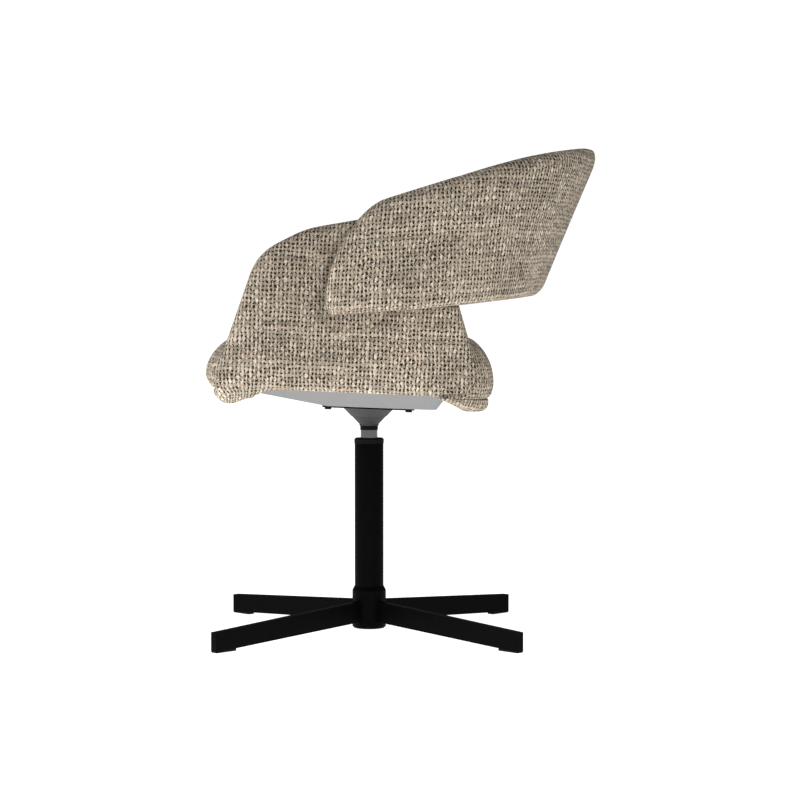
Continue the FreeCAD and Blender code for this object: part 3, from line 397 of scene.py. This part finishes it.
def cover_mesh(name, rings, lower, upper):
    """A closed cover: rings of points, one after another, are joined by four-sided faces, and each end ring
    is shut like a zip, by faces between its points and those across from them. Lower and upper give the
    weave map along each row's two edges, in millimetres, with a ring's first point repeated at its end."""
    count, around = rings.shape[:2]
    points = rings.reshape(-1, 3)
    step = np.arange(around)
    after = (step + 1) % around
    row = (np.arange(count - 1) * around)[:, None]
    quads = np.stack([row + step, row + after, row + around + after, row + around + step], -1).reshape(-1, 4)
    weave = np.stack([lower[:, :-1], lower[:, 1:], upper[:, 1:], upper[:, :-1]], 2).reshape(-1, 4, 2)
    tooth = np.arange(around // 2 - 1)
    zip_end = np.stack([tooth, tooth + 1, around - 2 - tooth, around - 1 - tooth], -1)
    quads = np.concatenate([quads, zip_end[:, ::-1], (count - 1) * around + zip_end])
    weave = np.concatenate([weave, lower[0][zip_end[:, ::-1]], upper[-1][zip_end]])
    corner = points[quads]
    inside = np.einsum("ij,ij->i", corner[:, 0], np.cross(corner[:, 1], corner[:, 2])).sum() \
        + np.einsum("ij,ij->i", corner[:, 0], np.cross(corner[:, 2], corner[:, 3])).sum()
    if inside < 0:
        quads, weave = quads[:, ::-1], weave[:, ::-1]
    mesh = bpy.data.meshes.new(name)
    mesh.from_pydata(points.tolist(), [], quads.tolist())
    mesh.uv_layers.new(name="weave").data.foreach_set("uv", (weave / 1000.0).astype(np.float32).ravel())
    mesh.shade_smooth()
    mesh.materials.append(tweed)
    piece = bpy.data.objects.new(name, mesh)
    bpy.context.scene.collection.objects.link(piece)
    return piece


STUFFING_FRAMES = 20


def stuff(piece, held, limit):
    """Foam presses the cover out from inside for twenty frames while its held points stay where they are,
    as at a seam or against a neighbour. No point moves further than the limit, and the shape is kept."""
    mesh = piece.data
    count = len(mesh.vertices)
    held = held.ravel()
    rest = np.empty(count * 3)
    mesh.vertices.foreach_get("co", rest)
    rest = rest.reshape(-1, 3)
    group = piece.vertex_groups.new(name="held")
    for weight in np.linspace(0.1, 1.0, 10):
        chosen = np.nonzero(np.abs(held - weight) < 0.05)[0]
        if len(chosen):
            group.add(chosen.tolist(), float(weight), "REPLACE")
    cover = piece.modifiers.new("cover", "CLOTH")
    cover.settings.quality = 5
    cover.settings.mass = 0.3
    cover.settings.tension_stiffness = cover.settings.compression_stiffness = 25.0
    cover.settings.shear_stiffness = 10.0
    cover.settings.bending_stiffness = 4.0
    cover.settings.use_pressure = True
    cover.settings.uniform_pressure_force = 4.0
    cover.settings.vertex_group_mass = "held"
    cover.settings.effector_weights.gravity = 0.0
    cover.point_cache.frame_start, cover.point_cache.frame_end = 1, STUFFING_FRAMES
    for number in range(1, STUFFING_FRAMES + 1):
        bpy.context.scene.frame_set(number)
    swollen = np.empty(count * 3)
    shaped = piece.evaluated_get(bpy.context.evaluated_depsgraph_get())
    shaped.data.vertices.foreach_get("co", swollen)
    moved = swollen.reshape(-1, 3) - rest
    length = np.linalg.norm(moved, axis=1)
    moved *= (np.minimum(length, limit / 1000.0) / np.maximum(length, 1e-9))[:, None]
    piece.modifiers.remove(cover)
    piece.vertex_groups.clear()
    mesh.vertices.foreach_set("co", (rest + moved).astype(np.float32).ravel())
    mesh.update()
    bpy.context.scene.frame_set(1)
    finer = piece.modifiers.new("finer", "SUBSURF")
    finer.levels = finer.render_levels = 1


WING_LEAN = math.tan(math.radians(2.3))
WING_OUTER = 225.8       # outer face at the level of the seat plate
WING_THICKNESS = 32.0
REAR_CORNER_RADIUS = 76.0
TOE_INNER = 178.0        # inner face of the front foot, which stands beside the front roll
WING_CORNERS = [(-238.5, 1.0, 20), (-212, 1.0, 24), (-150, 26.6, 40), (184, 25.0, 40), (91, 306, 60),
                (-10, 298.5, 150), (-105, 278.5, 150), (-179.5, 237.5, 86), (-239.5, 44, 40)]
FACE_RINGS, RIM_RINGS = 22, 17

# The back band's path, lower edge and lean: the wings need them too, because the band presses on them.
BAND_LEVEL, BAND_CENTRE, BAND_REACH, BAND_TIP = 300.0, 52.0, 262.6, -70.0
BAND_HALF_WIDTH, BAND_THICKNESS = 284.3, 46.0
BAND_FOOT, BAND_FOOT_CLIMB = 158.0, 28.3
BAND_SIDE_LEAN, BAND_REAR_LEAN = math.tan(math.radians(2.3)), math.tan(math.radians(20.6))


def wing_outer_face(y, z):
    """X of a wing's outer face: it leans out with height, its foot is tucked in by two parabolas, and behind
    the start of the seat's rear corner it follows that corner's arc."""
    tuck = 7.0 * np.clip((86.0 - z) / 60.0, 0, 1.5) ** 2 + 4.0 * np.clip((40.0 - z) / 16.0, 0, 2.4) ** 2
    start = np.interp(z, [40, 80, 130], [122.0, 112.0, 116.0])
    past = np.clip(y - start, 0, REAR_CORNER_RADIUS - 3)
    return WING_OUTER + WING_LEAN * z - tuck - (REAR_CORNER_RADIUS - np.sqrt(REAR_CORNER_RADIUS ** 2 - past ** 2))


def wing_rear_edge(z):
    """Y of the wing's rear edge at a height: the seam's curve round the lower corner, then a straight line."""
    return np.interp(z, [26, 28, 31, 35, 40, 44, 50, 60, 120, 306],
                     [117, 134, 145, 154, 160, 163, 167, 173, 153, 91])


def wing_inner_face(y, z):
    """X of its inner face: a thickness behind the outer face, drawn out to a thin lap where the wing's rear
    edge lies on the cushion, and never in the seat board beside it."""
    lap = np.clip((wing_rear_edge(z) - y) / 34.0, 0, 1)
    low = np.clip((112.0 - z) / 30.0, 0, 1) * (y > 60)
    thickness = WING_THICKNESS - low * (WING_THICKNESS - 4.0) * (1 - lap * lap * (3 - 2 * lap))
    under_seat = np.clip((28.0 - z) / 6.0, 0, 1) * (y < 0)
    face = (wing_outer_face(y, z) - thickness) * (1 - under_seat) + TOE_INNER * under_seat
    return np.where((z > 26.0) & (y < 130.0), np.maximum(face, 195.0), face)


def band_lean(climb):
    """How far the back band leans out per millimetre of height, from its climb round the bend."""
    return BAND_SIDE_LEAN + (BAND_REAR_LEAN - BAND_SIDE_LEAN) * np.clip(climb, 0, 1) ** 2


def pressed_by_band(x, y, z):
    """X of the wing's outer face where the back band presses it in: at most the band's inner face, which
    runs straight and then bends by a quarter ellipse, eased in over the band's rounded lower edge."""
    climb = (y - BAND_CENTRE) / BAND_REACH
    inset = band_lean(climb) * (z - BAND_LEVEL) - BAND_THICKNESS
    across = np.clip((y - BAND_CENTRE) / (BAND_REACH + inset), 0, 0.95)
    room = (BAND_HALF_WIDTH + inset) * np.sqrt(1 - across ** 2) - 0.5
    share = np.clip((z - (BAND_FOOT - 2.0) - BAND_FOOT_CLIMB * climb) / 12.0, 0, 1) * (y > BAND_TIP - 2.0)
    return x - share * share * (3 - 2 * share) * np.maximum(x - room, 0)


def make_wing(name, node, hand):
    """A pillow on the wing's outline: rings run from the middle of the outer face to the rim, turn round
    it by a half ellipse and run back to the middle of the inner face. The weave lies flat on the outer
    face, goes on round the rim along its normal, and starts anew at the inner face's seam."""
    outline = rounded_outline(WING_CORNERS, 300)[:-1]
    along = np.roll(outline, -1, 0) - np.roll(outline, 1, 0)
    along /= np.linalg.norm(along, axis=1)[:, None]
    inward = np.stack([-along[:, 1], along[:, 0]], 1)
    over_seat = np.clip((outline[:, 1] - 72) / 34, 0, 1)
    beside_seat = np.where(outline[:, 0] < -120, 1.0, np.clip((outline[:, 1] - 40) / 40, 0.25, 1))
    full = np.where(outline[:, 0] < 60, beside_seat, over_seat * over_seat * (3 - 2 * over_seat))
    edge = 3.0 + 11.0 * full
    middle = np.array([-80.0, 130.0])
    turn = np.linspace(0, math.pi, RIM_RINGS)
    rim = outline[None] + inward[None] * (edge[None, :] * (1 - np.sin(turn))[:, None])[..., None]
    inner_edge = outline + inward * (edge + 1.5)[:, None]
    spread = np.linspace(0.05, 1.0, FACE_RINGS)
    face = middle + (inner_edge - middle)[None] * spread[:, None, None]
    plan = np.concatenate([face, rim, face[::-1]])
    y, z = plan[..., 0], plan[..., 1]
    outer, inner = pressed_by_band(wing_outer_face(y, z), y, z), wing_inner_face(y, z)
    round_rim = np.sign(np.cos(turn)) * np.abs(np.cos(turn)) ** 0.8
    side = np.concatenate([np.ones(FACE_RINGS), round_rim, -np.ones(FACE_RINGS)])[:, None]
    x = (outer + inner) / 2 + (outer - inner) / 2 * side
    hollow = 1.2 * (1 - np.concatenate([spread, np.ones(RIM_RINGS), spread[::-1]])[:, None] ** 4)
    x = x - np.where(side > 0, hollow, -hollow)
    rings = np.stack([hand * x, y, z], -1)
    rim_end = FACE_RINGS + RIM_RINGS
    over_rim = np.cumsum(np.linalg.norm(np.diff(rings[FACE_RINGS - 1:rim_end], axis=0), axis=2), axis=0)
    outside = np.stack([y - 0.8 * np.clip(26 - z, 0, 30) * (y < 0), z], -1)
    outside[FACE_RINGS:rim_end] = outside[FACE_RINGS - 1] - inward[None] * over_rim[..., None]
    inside = np.stack([-y, z], -1)
    outside, inside = (np.concatenate([m, m[:, :1]], 1) for m in (outside, inside))
    row_inside = (np.arange(len(rings) - 1) >= rim_end - 1)[:, None, None]
    piece = cover_mesh(name, on_the_chair(rings), np.where(row_inside, inside[:-1], outside[:-1]),
                       np.where(row_inside, inside[1:], outside[1:]))
    under_band = (side > 0) & (y > -72) & (z > 140 + 0.1354 * y)
    against_seat = (side < -0.2) & (z < 128)
    held = np.where(under_band | against_seat | (np.abs(side) < 0.98), 1.0, 0.0)
    stuff(piece, held, 2.4)
    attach(piece, "seat")
    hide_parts(node)


make_wing("wing_cover_left", "wing_left", 1)
make_wing("wing_cover_right", "wing_right", -1)


# Seat cushion: one thick foam bun on the seat board, with a full rounded nose and a boxed edge, covered in
# the same tweed. Its sides are squeezed between the wings, and its skirt hangs over the board front and rear.

CUSHION_FRONT, CUSHION_REAR, CUSHION_HALF_WIDTH = -261.0, 198.0, 226.0
CUSHION_LIP, CUSHION_NOSE, CUSHION_TOP = 23.0, 46.0, 125.5
ON_BOARD = 44.8          # just above the seat board
UNDER_RINGS, CROWN_RINGS = 7, 17


def cushion_outline(count):
    """The cushion's rounded outline with its outward normals, and the shares of front, side and rear in
    each normal, by which insets are blended."""
    left, right = -CUSHION_HALF_WIDTH, CUSHION_HALF_WIDTH
    outline = rounded_outline([(left, CUSHION_FRONT, 100), (right, CUSHION_FRONT, 100),
                               (right, CUSHION_REAR, 78), (left, CUSHION_REAR, 78)], count)
    base = outline[:-1]
    along = np.roll(base, -1, 0) - np.roll(base, 1, 0)
    along /= np.linalg.norm(along, axis=1)[:, None]
    normal = np.stack([along[:, 1], -along[:, 0]], 1)
    shares = np.stack([np.clip(-normal[:, 1], 0, 1), np.abs(normal[:, 0]), np.clip(normal[:, 1], 0, 1)], 1) ** 2
    return outline, normal, shares


def make_cushion():
    """Rings of a rounded rectangle, drawn in along its normals: under the board, down the skirt, out to
    the nose, up a quarter ellipse whose run differs at front, sides and rear, and over the crown."""
    outline, normal, shares = cushion_outline(280)
    around = np.concatenate([[0], np.cumsum(np.linalg.norm(np.diff(outline, axis=0), axis=1))])
    base = outline[:-1]
    angles = np.radians([0, 8, 16, 24, 32, 40, 47, 54, 60, 66])
    rows = [((48, 36, 40), ON_BOARD), ((33, 22, 26), ON_BOARD), ((32, 20, 25), 34), ((31, 19, 24), 25),
            ((24, 12, 14), CUSHION_LIP + 0.4), ((19, 3.4, 4.5), CUSHION_LIP), ((12.5, 2.8, 4.2), 24.6),
            ((7.5, 2, 3.6), 29), ((4.5, 1.2, 2.2), 35), ((1.4, 0.4, 0.7), 40.5)]
    seam = UNDER_RINGS + len(rows) + 8
    rows += [((120 * (1 - math.cos(a)), 60 * (1 - math.cos(a)), 70 * (1 - math.cos(a))),
              CUSHION_NOSE + (CUSHION_TOP - CUSHION_NOSE) * math.sin(a)) for a in angles]
    inset = np.array([r[0] for r in rows]) @ shares.T
    inset[4:7] += np.array([4.0, 7.5, 3.8])[:, None] * shares[:, 2] ** 3
    plan = base[None] - normal[None] * inset[..., None]
    height = np.repeat(np.array([r[1] for r in rows])[:, None], len(base), 1)
    middle = np.array([0.0, -35.0])
    spread = np.linspace(0.94, 0.06, CROWN_RINGS)
    crown = middle + (plan[-1] - middle)[None] * spread[:, None, None]
    crown_height = height[-1, 0] + 10.5 * (1 - spread ** 3.4)
    under_spread = np.linspace(0.08, 0.92, UNDER_RINGS)
    under = middle + (plan[0] - middle)[None] * under_spread[:, None, None]
    plan = np.concatenate([under, plan, crown])
    height = np.concatenate([np.full((UNDER_RINGS, len(base)), ON_BOARD), height,
                             np.repeat(crown_height[:, None], len(base), 1)])
    x, y = plan[..., 0], plan[..., 1]
    wing_front = np.interp(height, [20, 46, 62, 82, 101, 114, 145], [-236, -238, -234, -227, -221, -217, -206])
    beside_wing = (y > wing_front + 4) & (y < wing_rear_edge(height) + 0.3)
    room = wing_inner_face(y, height) - 0.6
    squeezed = beside_wing & (np.abs(x) > room)
    x = np.where(squeezed, np.sign(x) * room, x)
    height = np.where(squeezed, np.maximum(height, ON_BOARD), height)
    rings = np.stack([x, y, height], -1)
    climb = np.concatenate([[0], np.cumsum(np.linalg.norm(np.diff(rings[:, len(base) // 8], axis=0), axis=1))])
    boxing = np.stack(np.broadcast_arrays(around[None, :], climb[:, None]), -1)
    flat = np.concatenate([rings[..., :2], rings[:, :1, :2]], 1)
    row_on_top = (np.arange(len(rings) - 1) >= seam)[:, None, None]
    lower = np.where(row_on_top, flat[:-1], boxing[:-1])
    upper = np.where(row_on_top, flat[1:], boxing[1:])
    piece = cover_mesh("seat_cushion_cover", on_the_chair(rings), lower, upper)
    held = np.where(squeezed, 1.0, 0.0)
    held[:12] = 1.0
    held[seam] = 0.7
    stuff(piece, held, 3.0)
    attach(piece, "seat")
    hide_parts("seat_cushion")


make_cushion()


# Front and rear rolls: foam rolls in the same tweed, stapled under the seat board's front and rear edges,
# with a notch between each roll and the cushion's skirt. The rear one bends round the seat's rear corners.

ROLL_TOP = 24.0


def make_roll(name, node, section, path, inward, taper, tuck):
    """A section of depth and height carried along a path: its depth runs along the path's inward normal,
    the tuck draws the lower part of its outer side inward by a power of the way down, and the taper draws
    all of it together towards the path at a level just under the seat board."""
    depth, height = section[:-1, 0], section[:-1, 1]
    tucked = np.clip((ROLL_TOP - height) / ROLL_TOP, 0, 1) ** 1.3 * np.clip(1 - depth / 45, 0, 1)
    depth = depth[None] + tuck[:, None] * tucked[None]
    plan = path[:, None] + inward[:, None] * (depth * taper[:, None])[..., None]
    level = ROLL_TOP - (ROLL_TOP - height)[None] * taper[:, None]
    rings = np.concatenate([plan, level[..., None]], -1)
    length = np.concatenate([[0], np.cumsum(np.linalg.norm(np.diff(path, axis=0), axis=1))])
    girth = np.concatenate([[0], np.cumsum(np.linalg.norm(np.diff(section, axis=0), axis=1))])
    weave = np.stack(np.broadcast_arrays(length[:, None], girth[None, :]), -1)
    piece = cover_mesh(name, on_the_chair(rings), weave[:-1], weave[1:])
    held = np.where((height > 12)[None] | (taper < 0.5)[:, None], 1.0, 0.0)
    stuff(piece, held, 1.5)
    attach(piece, "seat")
    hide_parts(node)


def distance_from_end(path):
    """Length along a path from every point to the nearer of its two ends."""
    length = np.concatenate([[0], np.cumsum(np.linalg.norm(np.diff(path, axis=0), axis=1))])
    return np.minimum(length, length[-1] - length)


lip_outline, lip_normal, lip_shares = cushion_outline(360)
lip = lip_outline[:-1] - lip_normal * (lip_shares @ np.array([14.0, 3.0, 7.0]))[:, None]
rear_order = np.nonzero(lip[:, 1] > 106)[0]
rear_path, rear_inward = lip[rear_order], -lip_normal[rear_order]
from_end = distance_from_end(rear_path)
rear_section = rounded_outline([(0, 2.3, 14), (30, 1.8, 14), (48, 8.0, 14), (63, 14.2, 4), (63, 27.0, 3),
                                (19.5, 27.0, 2.4), (17.5, 22.7, 2), (0.3, 22.7, 0.7)], 72)
make_roll("rear_roll_cover", "rear_roll", rear_section, rear_path, rear_inward,
          0.04 + 0.96 * np.sin(np.clip(from_end / 92, 0, 1) * math.pi / 2), 15.0 * lip_shares[rear_order, 1])

front_order = np.nonzero((lip[:, 1] < -150) & (np.abs(lip[:, 0]) < 175.5))[0]
front_path, front_inward = lip[front_order], np.tile([0.0, 1.0], (len(front_order), 1))
from_end = distance_from_end(front_path)
front_section = rounded_outline([(0, 2.0, 15), (62, 11.0, 4), (62, 27.0, 3),
                                 (19.5, 27.0, 2.4), (17.5, 22.6, 2), (0.3, 22.6, 2.2)], 72)
make_roll("front_roll_cover", "front_roll", front_section, front_path, front_inward,
          0.04 + 0.96 * np.sqrt(1 - (1 - np.clip(from_end / 8, 0, 1)) ** 2), np.zeros(len(front_order)))


# Back band: one long foam pad on a bent plywood panel, covered in the tweed with its rows along the lower
# edge. It stands proud of the wings, is bolted to them, and ends on each side in a rounded leaf.

BAND_TIP_LEVEL = 172.0
FOOT_STEPS, FACE_STEPS, HEAD_STEPS = 13, 28, 21      # section points on the lower edge, each face and the upper edge


def edge_normals(edge, points):
    """For every point, the outward normal of the edge at the place of the edge that is nearest to it."""
    length = np.concatenate([[0], np.cumsum(np.linalg.norm(np.diff(edge, axis=0), axis=1))])
    steps = np.linspace(0, length[-1], 600)
    ahead = np.gradient(edge, length, axis=0)
    place = np.stack([np.interp(steps, length, edge[:, 0]), np.interp(steps, length, edge[:, 1])], 1)
    normal = np.stack([np.interp(steps, length, ahead[:, 1]), -np.interp(steps, length, ahead[:, 0])], 1)
    normal /= np.linalg.norm(normal, axis=1)[:, None]
    nearest = (points ** 2).sum(-1)[..., None] + (place ** 2).sum(1) - 2 * points @ place.T
    return normal[nearest.argmin(-1)]


def make_back_band():
    """A rounded section carried along a straight run, half an ellipse and a second run. Its lower and upper
    edges climb with the sine of the bend, it leans back with the sine squared, and at both tips its edges
    and thickness close by superellipses of the distance from the tip. The weave lies flat on the outer
    face, and goes on round the edges by their girth, or at a tip along the edge's nearest normal."""
    turn = np.linspace(0, math.pi, 2001)
    run = np.linspace(BAND_TIP, BAND_CENTRE, 500)[:-1]
    path = np.concatenate([np.stack([np.full(499, BAND_HALF_WIDTH), run], 1),
                           np.stack([BAND_HALF_WIDTH * np.cos(turn), BAND_CENTRE + BAND_REACH * np.sin(turn)], 1),
                           np.stack([np.full(499, -BAND_HALF_WIDTH), run[::-1]], 1)])
    length = np.concatenate([[0], np.cumsum(np.linalg.norm(np.diff(path, axis=0), axis=1))])
    near = 0.35 + 60 * np.linspace(0, 1, 25)[:-1] ** 1.6
    stations = np.concatenate([near, np.linspace(60.35, length[-1] - 60.35, 170), length[-1] - near[::-1]])

    def on_path(steps):
        return np.stack([np.interp(steps, length, path[:, 0]), np.interp(steps, length, path[:, 1])], 1)

    spot = on_path(stations)
    along = on_path(stations + 0.3) - on_path(stations - 0.3)
    along /= np.linalg.norm(along, axis=1)[:, None]
    outward = np.stack([along[:, 1], -along[:, 0]], 1)
    climb = (spot[:, 1] - BAND_CENTRE) / BAND_REACH
    lean = band_lean(climb)
    foot = BAND_FOOT + BAND_FOOT_CLIMB * climb
    head = 340.0 + 94.5 * climb - 3.0 * np.sin(np.clip(climb, 0, 1) * math.pi)
    tip = np.minimum(stations, length[-1] - stations)

    def closing(run, power):
        return (1 - (1 - np.clip(tip / run, 0, 1)) ** power) ** (1 / power)

    bottom = BAND_TIP_LEVEL - (BAND_TIP_LEVEL - foot) * closing(14.0, 2.0)
    top = BAND_TIP_LEVEL + (head - BAND_TIP_LEVEL) * closing(86.0, 1.9)
    half = BAND_THICKNESS / 2 * closing(26.0, 2.1)
    span = top - bottom
    behind_seat = np.clip(climb, 0, 1) ** 2
    upper_round = np.minimum(20.5 + 14.0 * behind_seat, span * 0.45)
    lower_round = np.minimum(12.0 + 9.0 * behind_seat, span * 0.3)

    low, high = np.linspace(-math.pi, 0, FOOT_STEPS), np.linspace(0, math.pi, HEAD_STEPS)
    level_share = np.linspace(0, 1, FACE_STEPS + 2)[1:-1]
    across = np.concatenate([np.cos(low), np.ones(FACE_STEPS), np.cos(high), -np.ones(FACE_STEPS)])
    across = np.sign(across) * np.abs(across) ** (0.82 + 0.18 * behind_seat)[:, None]
    low_part, high_part = np.sin(low), np.sin(high)
    z = np.concatenate([
        bottom[:, None] + lower_round[:, None] * (1 + low_part)[None],
        (bottom + lower_round)[:, None] + (span - lower_round - upper_round)[:, None] * level_share[None],
        (top - upper_round)[:, None] + upper_round[:, None] * high_part[None],
        (top - upper_round)[:, None] - (span - lower_round - upper_round)[:, None] * level_share[None]], 1)
    hollow = 0.8 * closing(40.0, 2.0)
    offset = lean[:, None] * (z - BAND_LEVEL) - BAND_THICKNESS / 2 + half[:, None] * across
    face = np.concatenate([np.zeros(FOOT_STEPS), np.sin(level_share * math.pi), np.zeros(HEAD_STEPS + FACE_STEPS)])
    offset = offset - hollow[:, None] * face[None]
    rings = np.concatenate([spot[:, None] + outward[:, None] * offset[..., None], z[..., None]], -1)
    closed = np.concatenate([rings, rings[:, :1]], 1)
    steps = np.linalg.norm(np.diff(closed, axis=1), axis=2)
    girth = np.concatenate([np.zeros((len(rings), 1)), np.cumsum(steps, axis=1)], 1)
    girth = girth - girth[:, FOOT_STEPS - 1:FOOT_STEPS] + (z[:, FOOT_STEPS - 1] - foot)[:, None]
    weave = np.stack([np.broadcast_to(stations[:, None], girth.shape), girth], -1)
    end = stations < 130
    edge = np.concatenate([np.stack([tip, top - foot], 1)[end][::-1], np.stack([tip, bottom - foot], 1)[end]])
    above_foot = np.concatenate([z, z[:, :1]], 1) - foot[:, None]
    flat = np.stack([np.broadcast_to(tip[:, None], girth.shape), above_foot], -1)
    depth = BAND_THICKNESS / 2 - half[:, None] * np.concatenate([across, across[:, :1]], 1)
    over = 0.57 * depth + 2.0 * np.clip(depth - BAND_THICKNESS / 2, 0, None)
    wrapped = flat + edge_normals(edge, flat) * over[..., None]
    wrapped[..., 0] = np.where((stations < length[-1] / 2)[:, None], wrapped[..., 0], length[-1] - wrapped[..., 0])
    near_tip = np.clip((110 - tip) / 50, 0, 1)[:, None, None]
    weave = weave + near_tip * near_tip * (3 - 2 * near_tip) * (wrapped - weave)
    piece = cover_mesh("back_band_cover", on_the_chair(rings), weave[:-1], weave[1:])
    against_wing = (across < 0.2) & (spot[:, 1] < 130)[:, None]
    low_edge = np.zeros(across.shape[1], bool)
    low_edge[8:FOOT_STEPS] = True
    held = np.where(against_wing | low_edge[None] | (tip < 6)[:, None], 1.0, 0.0)
    stuff(piece, held, 2.2)
    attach(piece, "seat")
    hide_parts("back_band")


make_back_band()


# Studio: a white floor that glows a little, as a lit sweep does, soft white light all round, and a camera at
# the photograph's side view.

def make_floor():
    """One large square on the floor's level, white, partly lit from within."""
    reach = np.array([-30.0, 30.0])
    corners = np.stack(np.meshgrid(reach, reach), -1).reshape(-1, 2)[[0, 1, 3, 2]]
    mesh = bpy.data.meshes.new("studio_floor")
    mesh.from_pydata(np.concatenate([corners, np.full((4, 1), -0.0005)], 1).tolist(), [], [(0, 1, 2, 3)])
    material = bpy.data.materials.new("studio_white")
    material.use_nodes = True
    tree = material.node_tree
    shader = tree.nodes["Principled BSDF"]
    place = add_node(tree, "ShaderNodeTexCoord").outputs["Object"]
    cloud = add_node(tree, "ShaderNodeTexNoise", {"Vector": place, "Scale": 0.8}).outputs["Fac"]
    white = blend_colours(tree, cloud, (0.76, 0.76, 0.76, 1), (0.8, 0.8, 0.8, 1))
    tree.links.new(white, shader.inputs["Base Color"])
    # Painted light: the floor's emission is strongest in a patch round the chair, where it lights the chair from
    # below as a lamp would, while camera rays see the whole floor plain white.
    away = add_node(tree, "ShaderNodeVectorMath", {0: place, 1: (0.75, -0.15, 0)},
                    operation="DISTANCE").outputs["Value"]
    near = add_node(tree, "ShaderNodeMapRange", {"Value": away, "From Min": 0.2, "From Max": 1.3}).outputs["Result"]
    glow = blend_colours(tree, near, (2.35, 2.35, 2.35, 1), (0.5, 0.5, 0.5, 1))
    seen = add_node(tree, "ShaderNodeLightPath").outputs["Is Camera Ray"]
    tree.links.new(blend_colours(tree, seen, glow, (1, 1, 1, 1)), shader.inputs["Emission Color"])
    shader.inputs["Roughness"].default_value = 0.9
    shader.inputs["Specular IOR Level"].default_value = 0.0
    shader.inputs["Emission Strength"].default_value = 1.0
    mesh.materials.append(material)
    floor = bpy.data.objects.new("studio_floor", mesh)
    bpy.context.scene.collection.objects.link(floor)


make_floor()

world = bpy.data.worlds.new("studio_world")
world.use_nodes = True
bpy.context.scene.world = world
sky = world.node_tree
backing = sky.nodes["Background"]
towards = add_node(sky, "ShaderNodeTexCoord").outputs["Generated"]
upward = add_node(sky, "ShaderNodeSeparateXYZ", {"Vector": towards}).outputs["Z"]
overhead = add_node(sky, "ShaderNodeMapRange", {"Value": upward, "To Min": 0.10, "To Max": 0.42}).outputs["Result"]
seen = add_node(sky, "ShaderNodeLightPath").outputs["Is Camera Ray"]
level = add_node(sky, "ShaderNodeMix", {0: seen, 2: overhead, 3: 1.05}, data_type="FLOAT")
sky.links.new(level.outputs[0], backing.inputs["Strength"])
backing.inputs["Color"].default_value = (1, 1, 1, 1)


def add_softbox(name, place, aim, size, power):
    """A square area light at a place, turned to face a point; it is returned."""
    lamp = bpy.data.lights.new(name, "AREA")
    lamp.size = size
    lamp.energy = power
    box = bpy.data.objects.new(name, lamp)
    box.location = place
    towards = np.array(aim, float) - np.array(place, float)
    flat = math.hypot(towards[0], towards[1])
    box.rotation_euler = (math.atan2(flat, -towards[2]), 0.0, math.atan2(-towards[0], towards[1]))
    bpy.context.scene.collection.objects.link(box)
    return box


add_softbox("rear_softbox", (1.9, 2.6, 1.2), (0, 0, 0.45), 0.8, 4.2)
add_softbox("front_softbox", (0.2, -3.1, 0.5), (0, 0, 0.45), 1.4, 75.0).visible_glossy = False
add_softbox("side_softbox", (3.0, 1.3, 1.6), (0, 0, 0.45), 0.6, 25.0).visible_glossy = False

camera = bpy.data.objects.new("photo_camera", bpy.data.cameras.new("photo_camera"))
camera.data.sensor_width = 36.0
camera.data.lens = 101.22
camera.location = (3.7115, -0.0050, 0.5325)
camera.rotation_euler = (math.radians(90 - 2.297), 0.0, math.radians(90))
bpy.context.scene.collection.objects.link(camera)
bpy.context.scene.camera = camera
bpy.context.scene.view_settings.view_transform = "Standard"
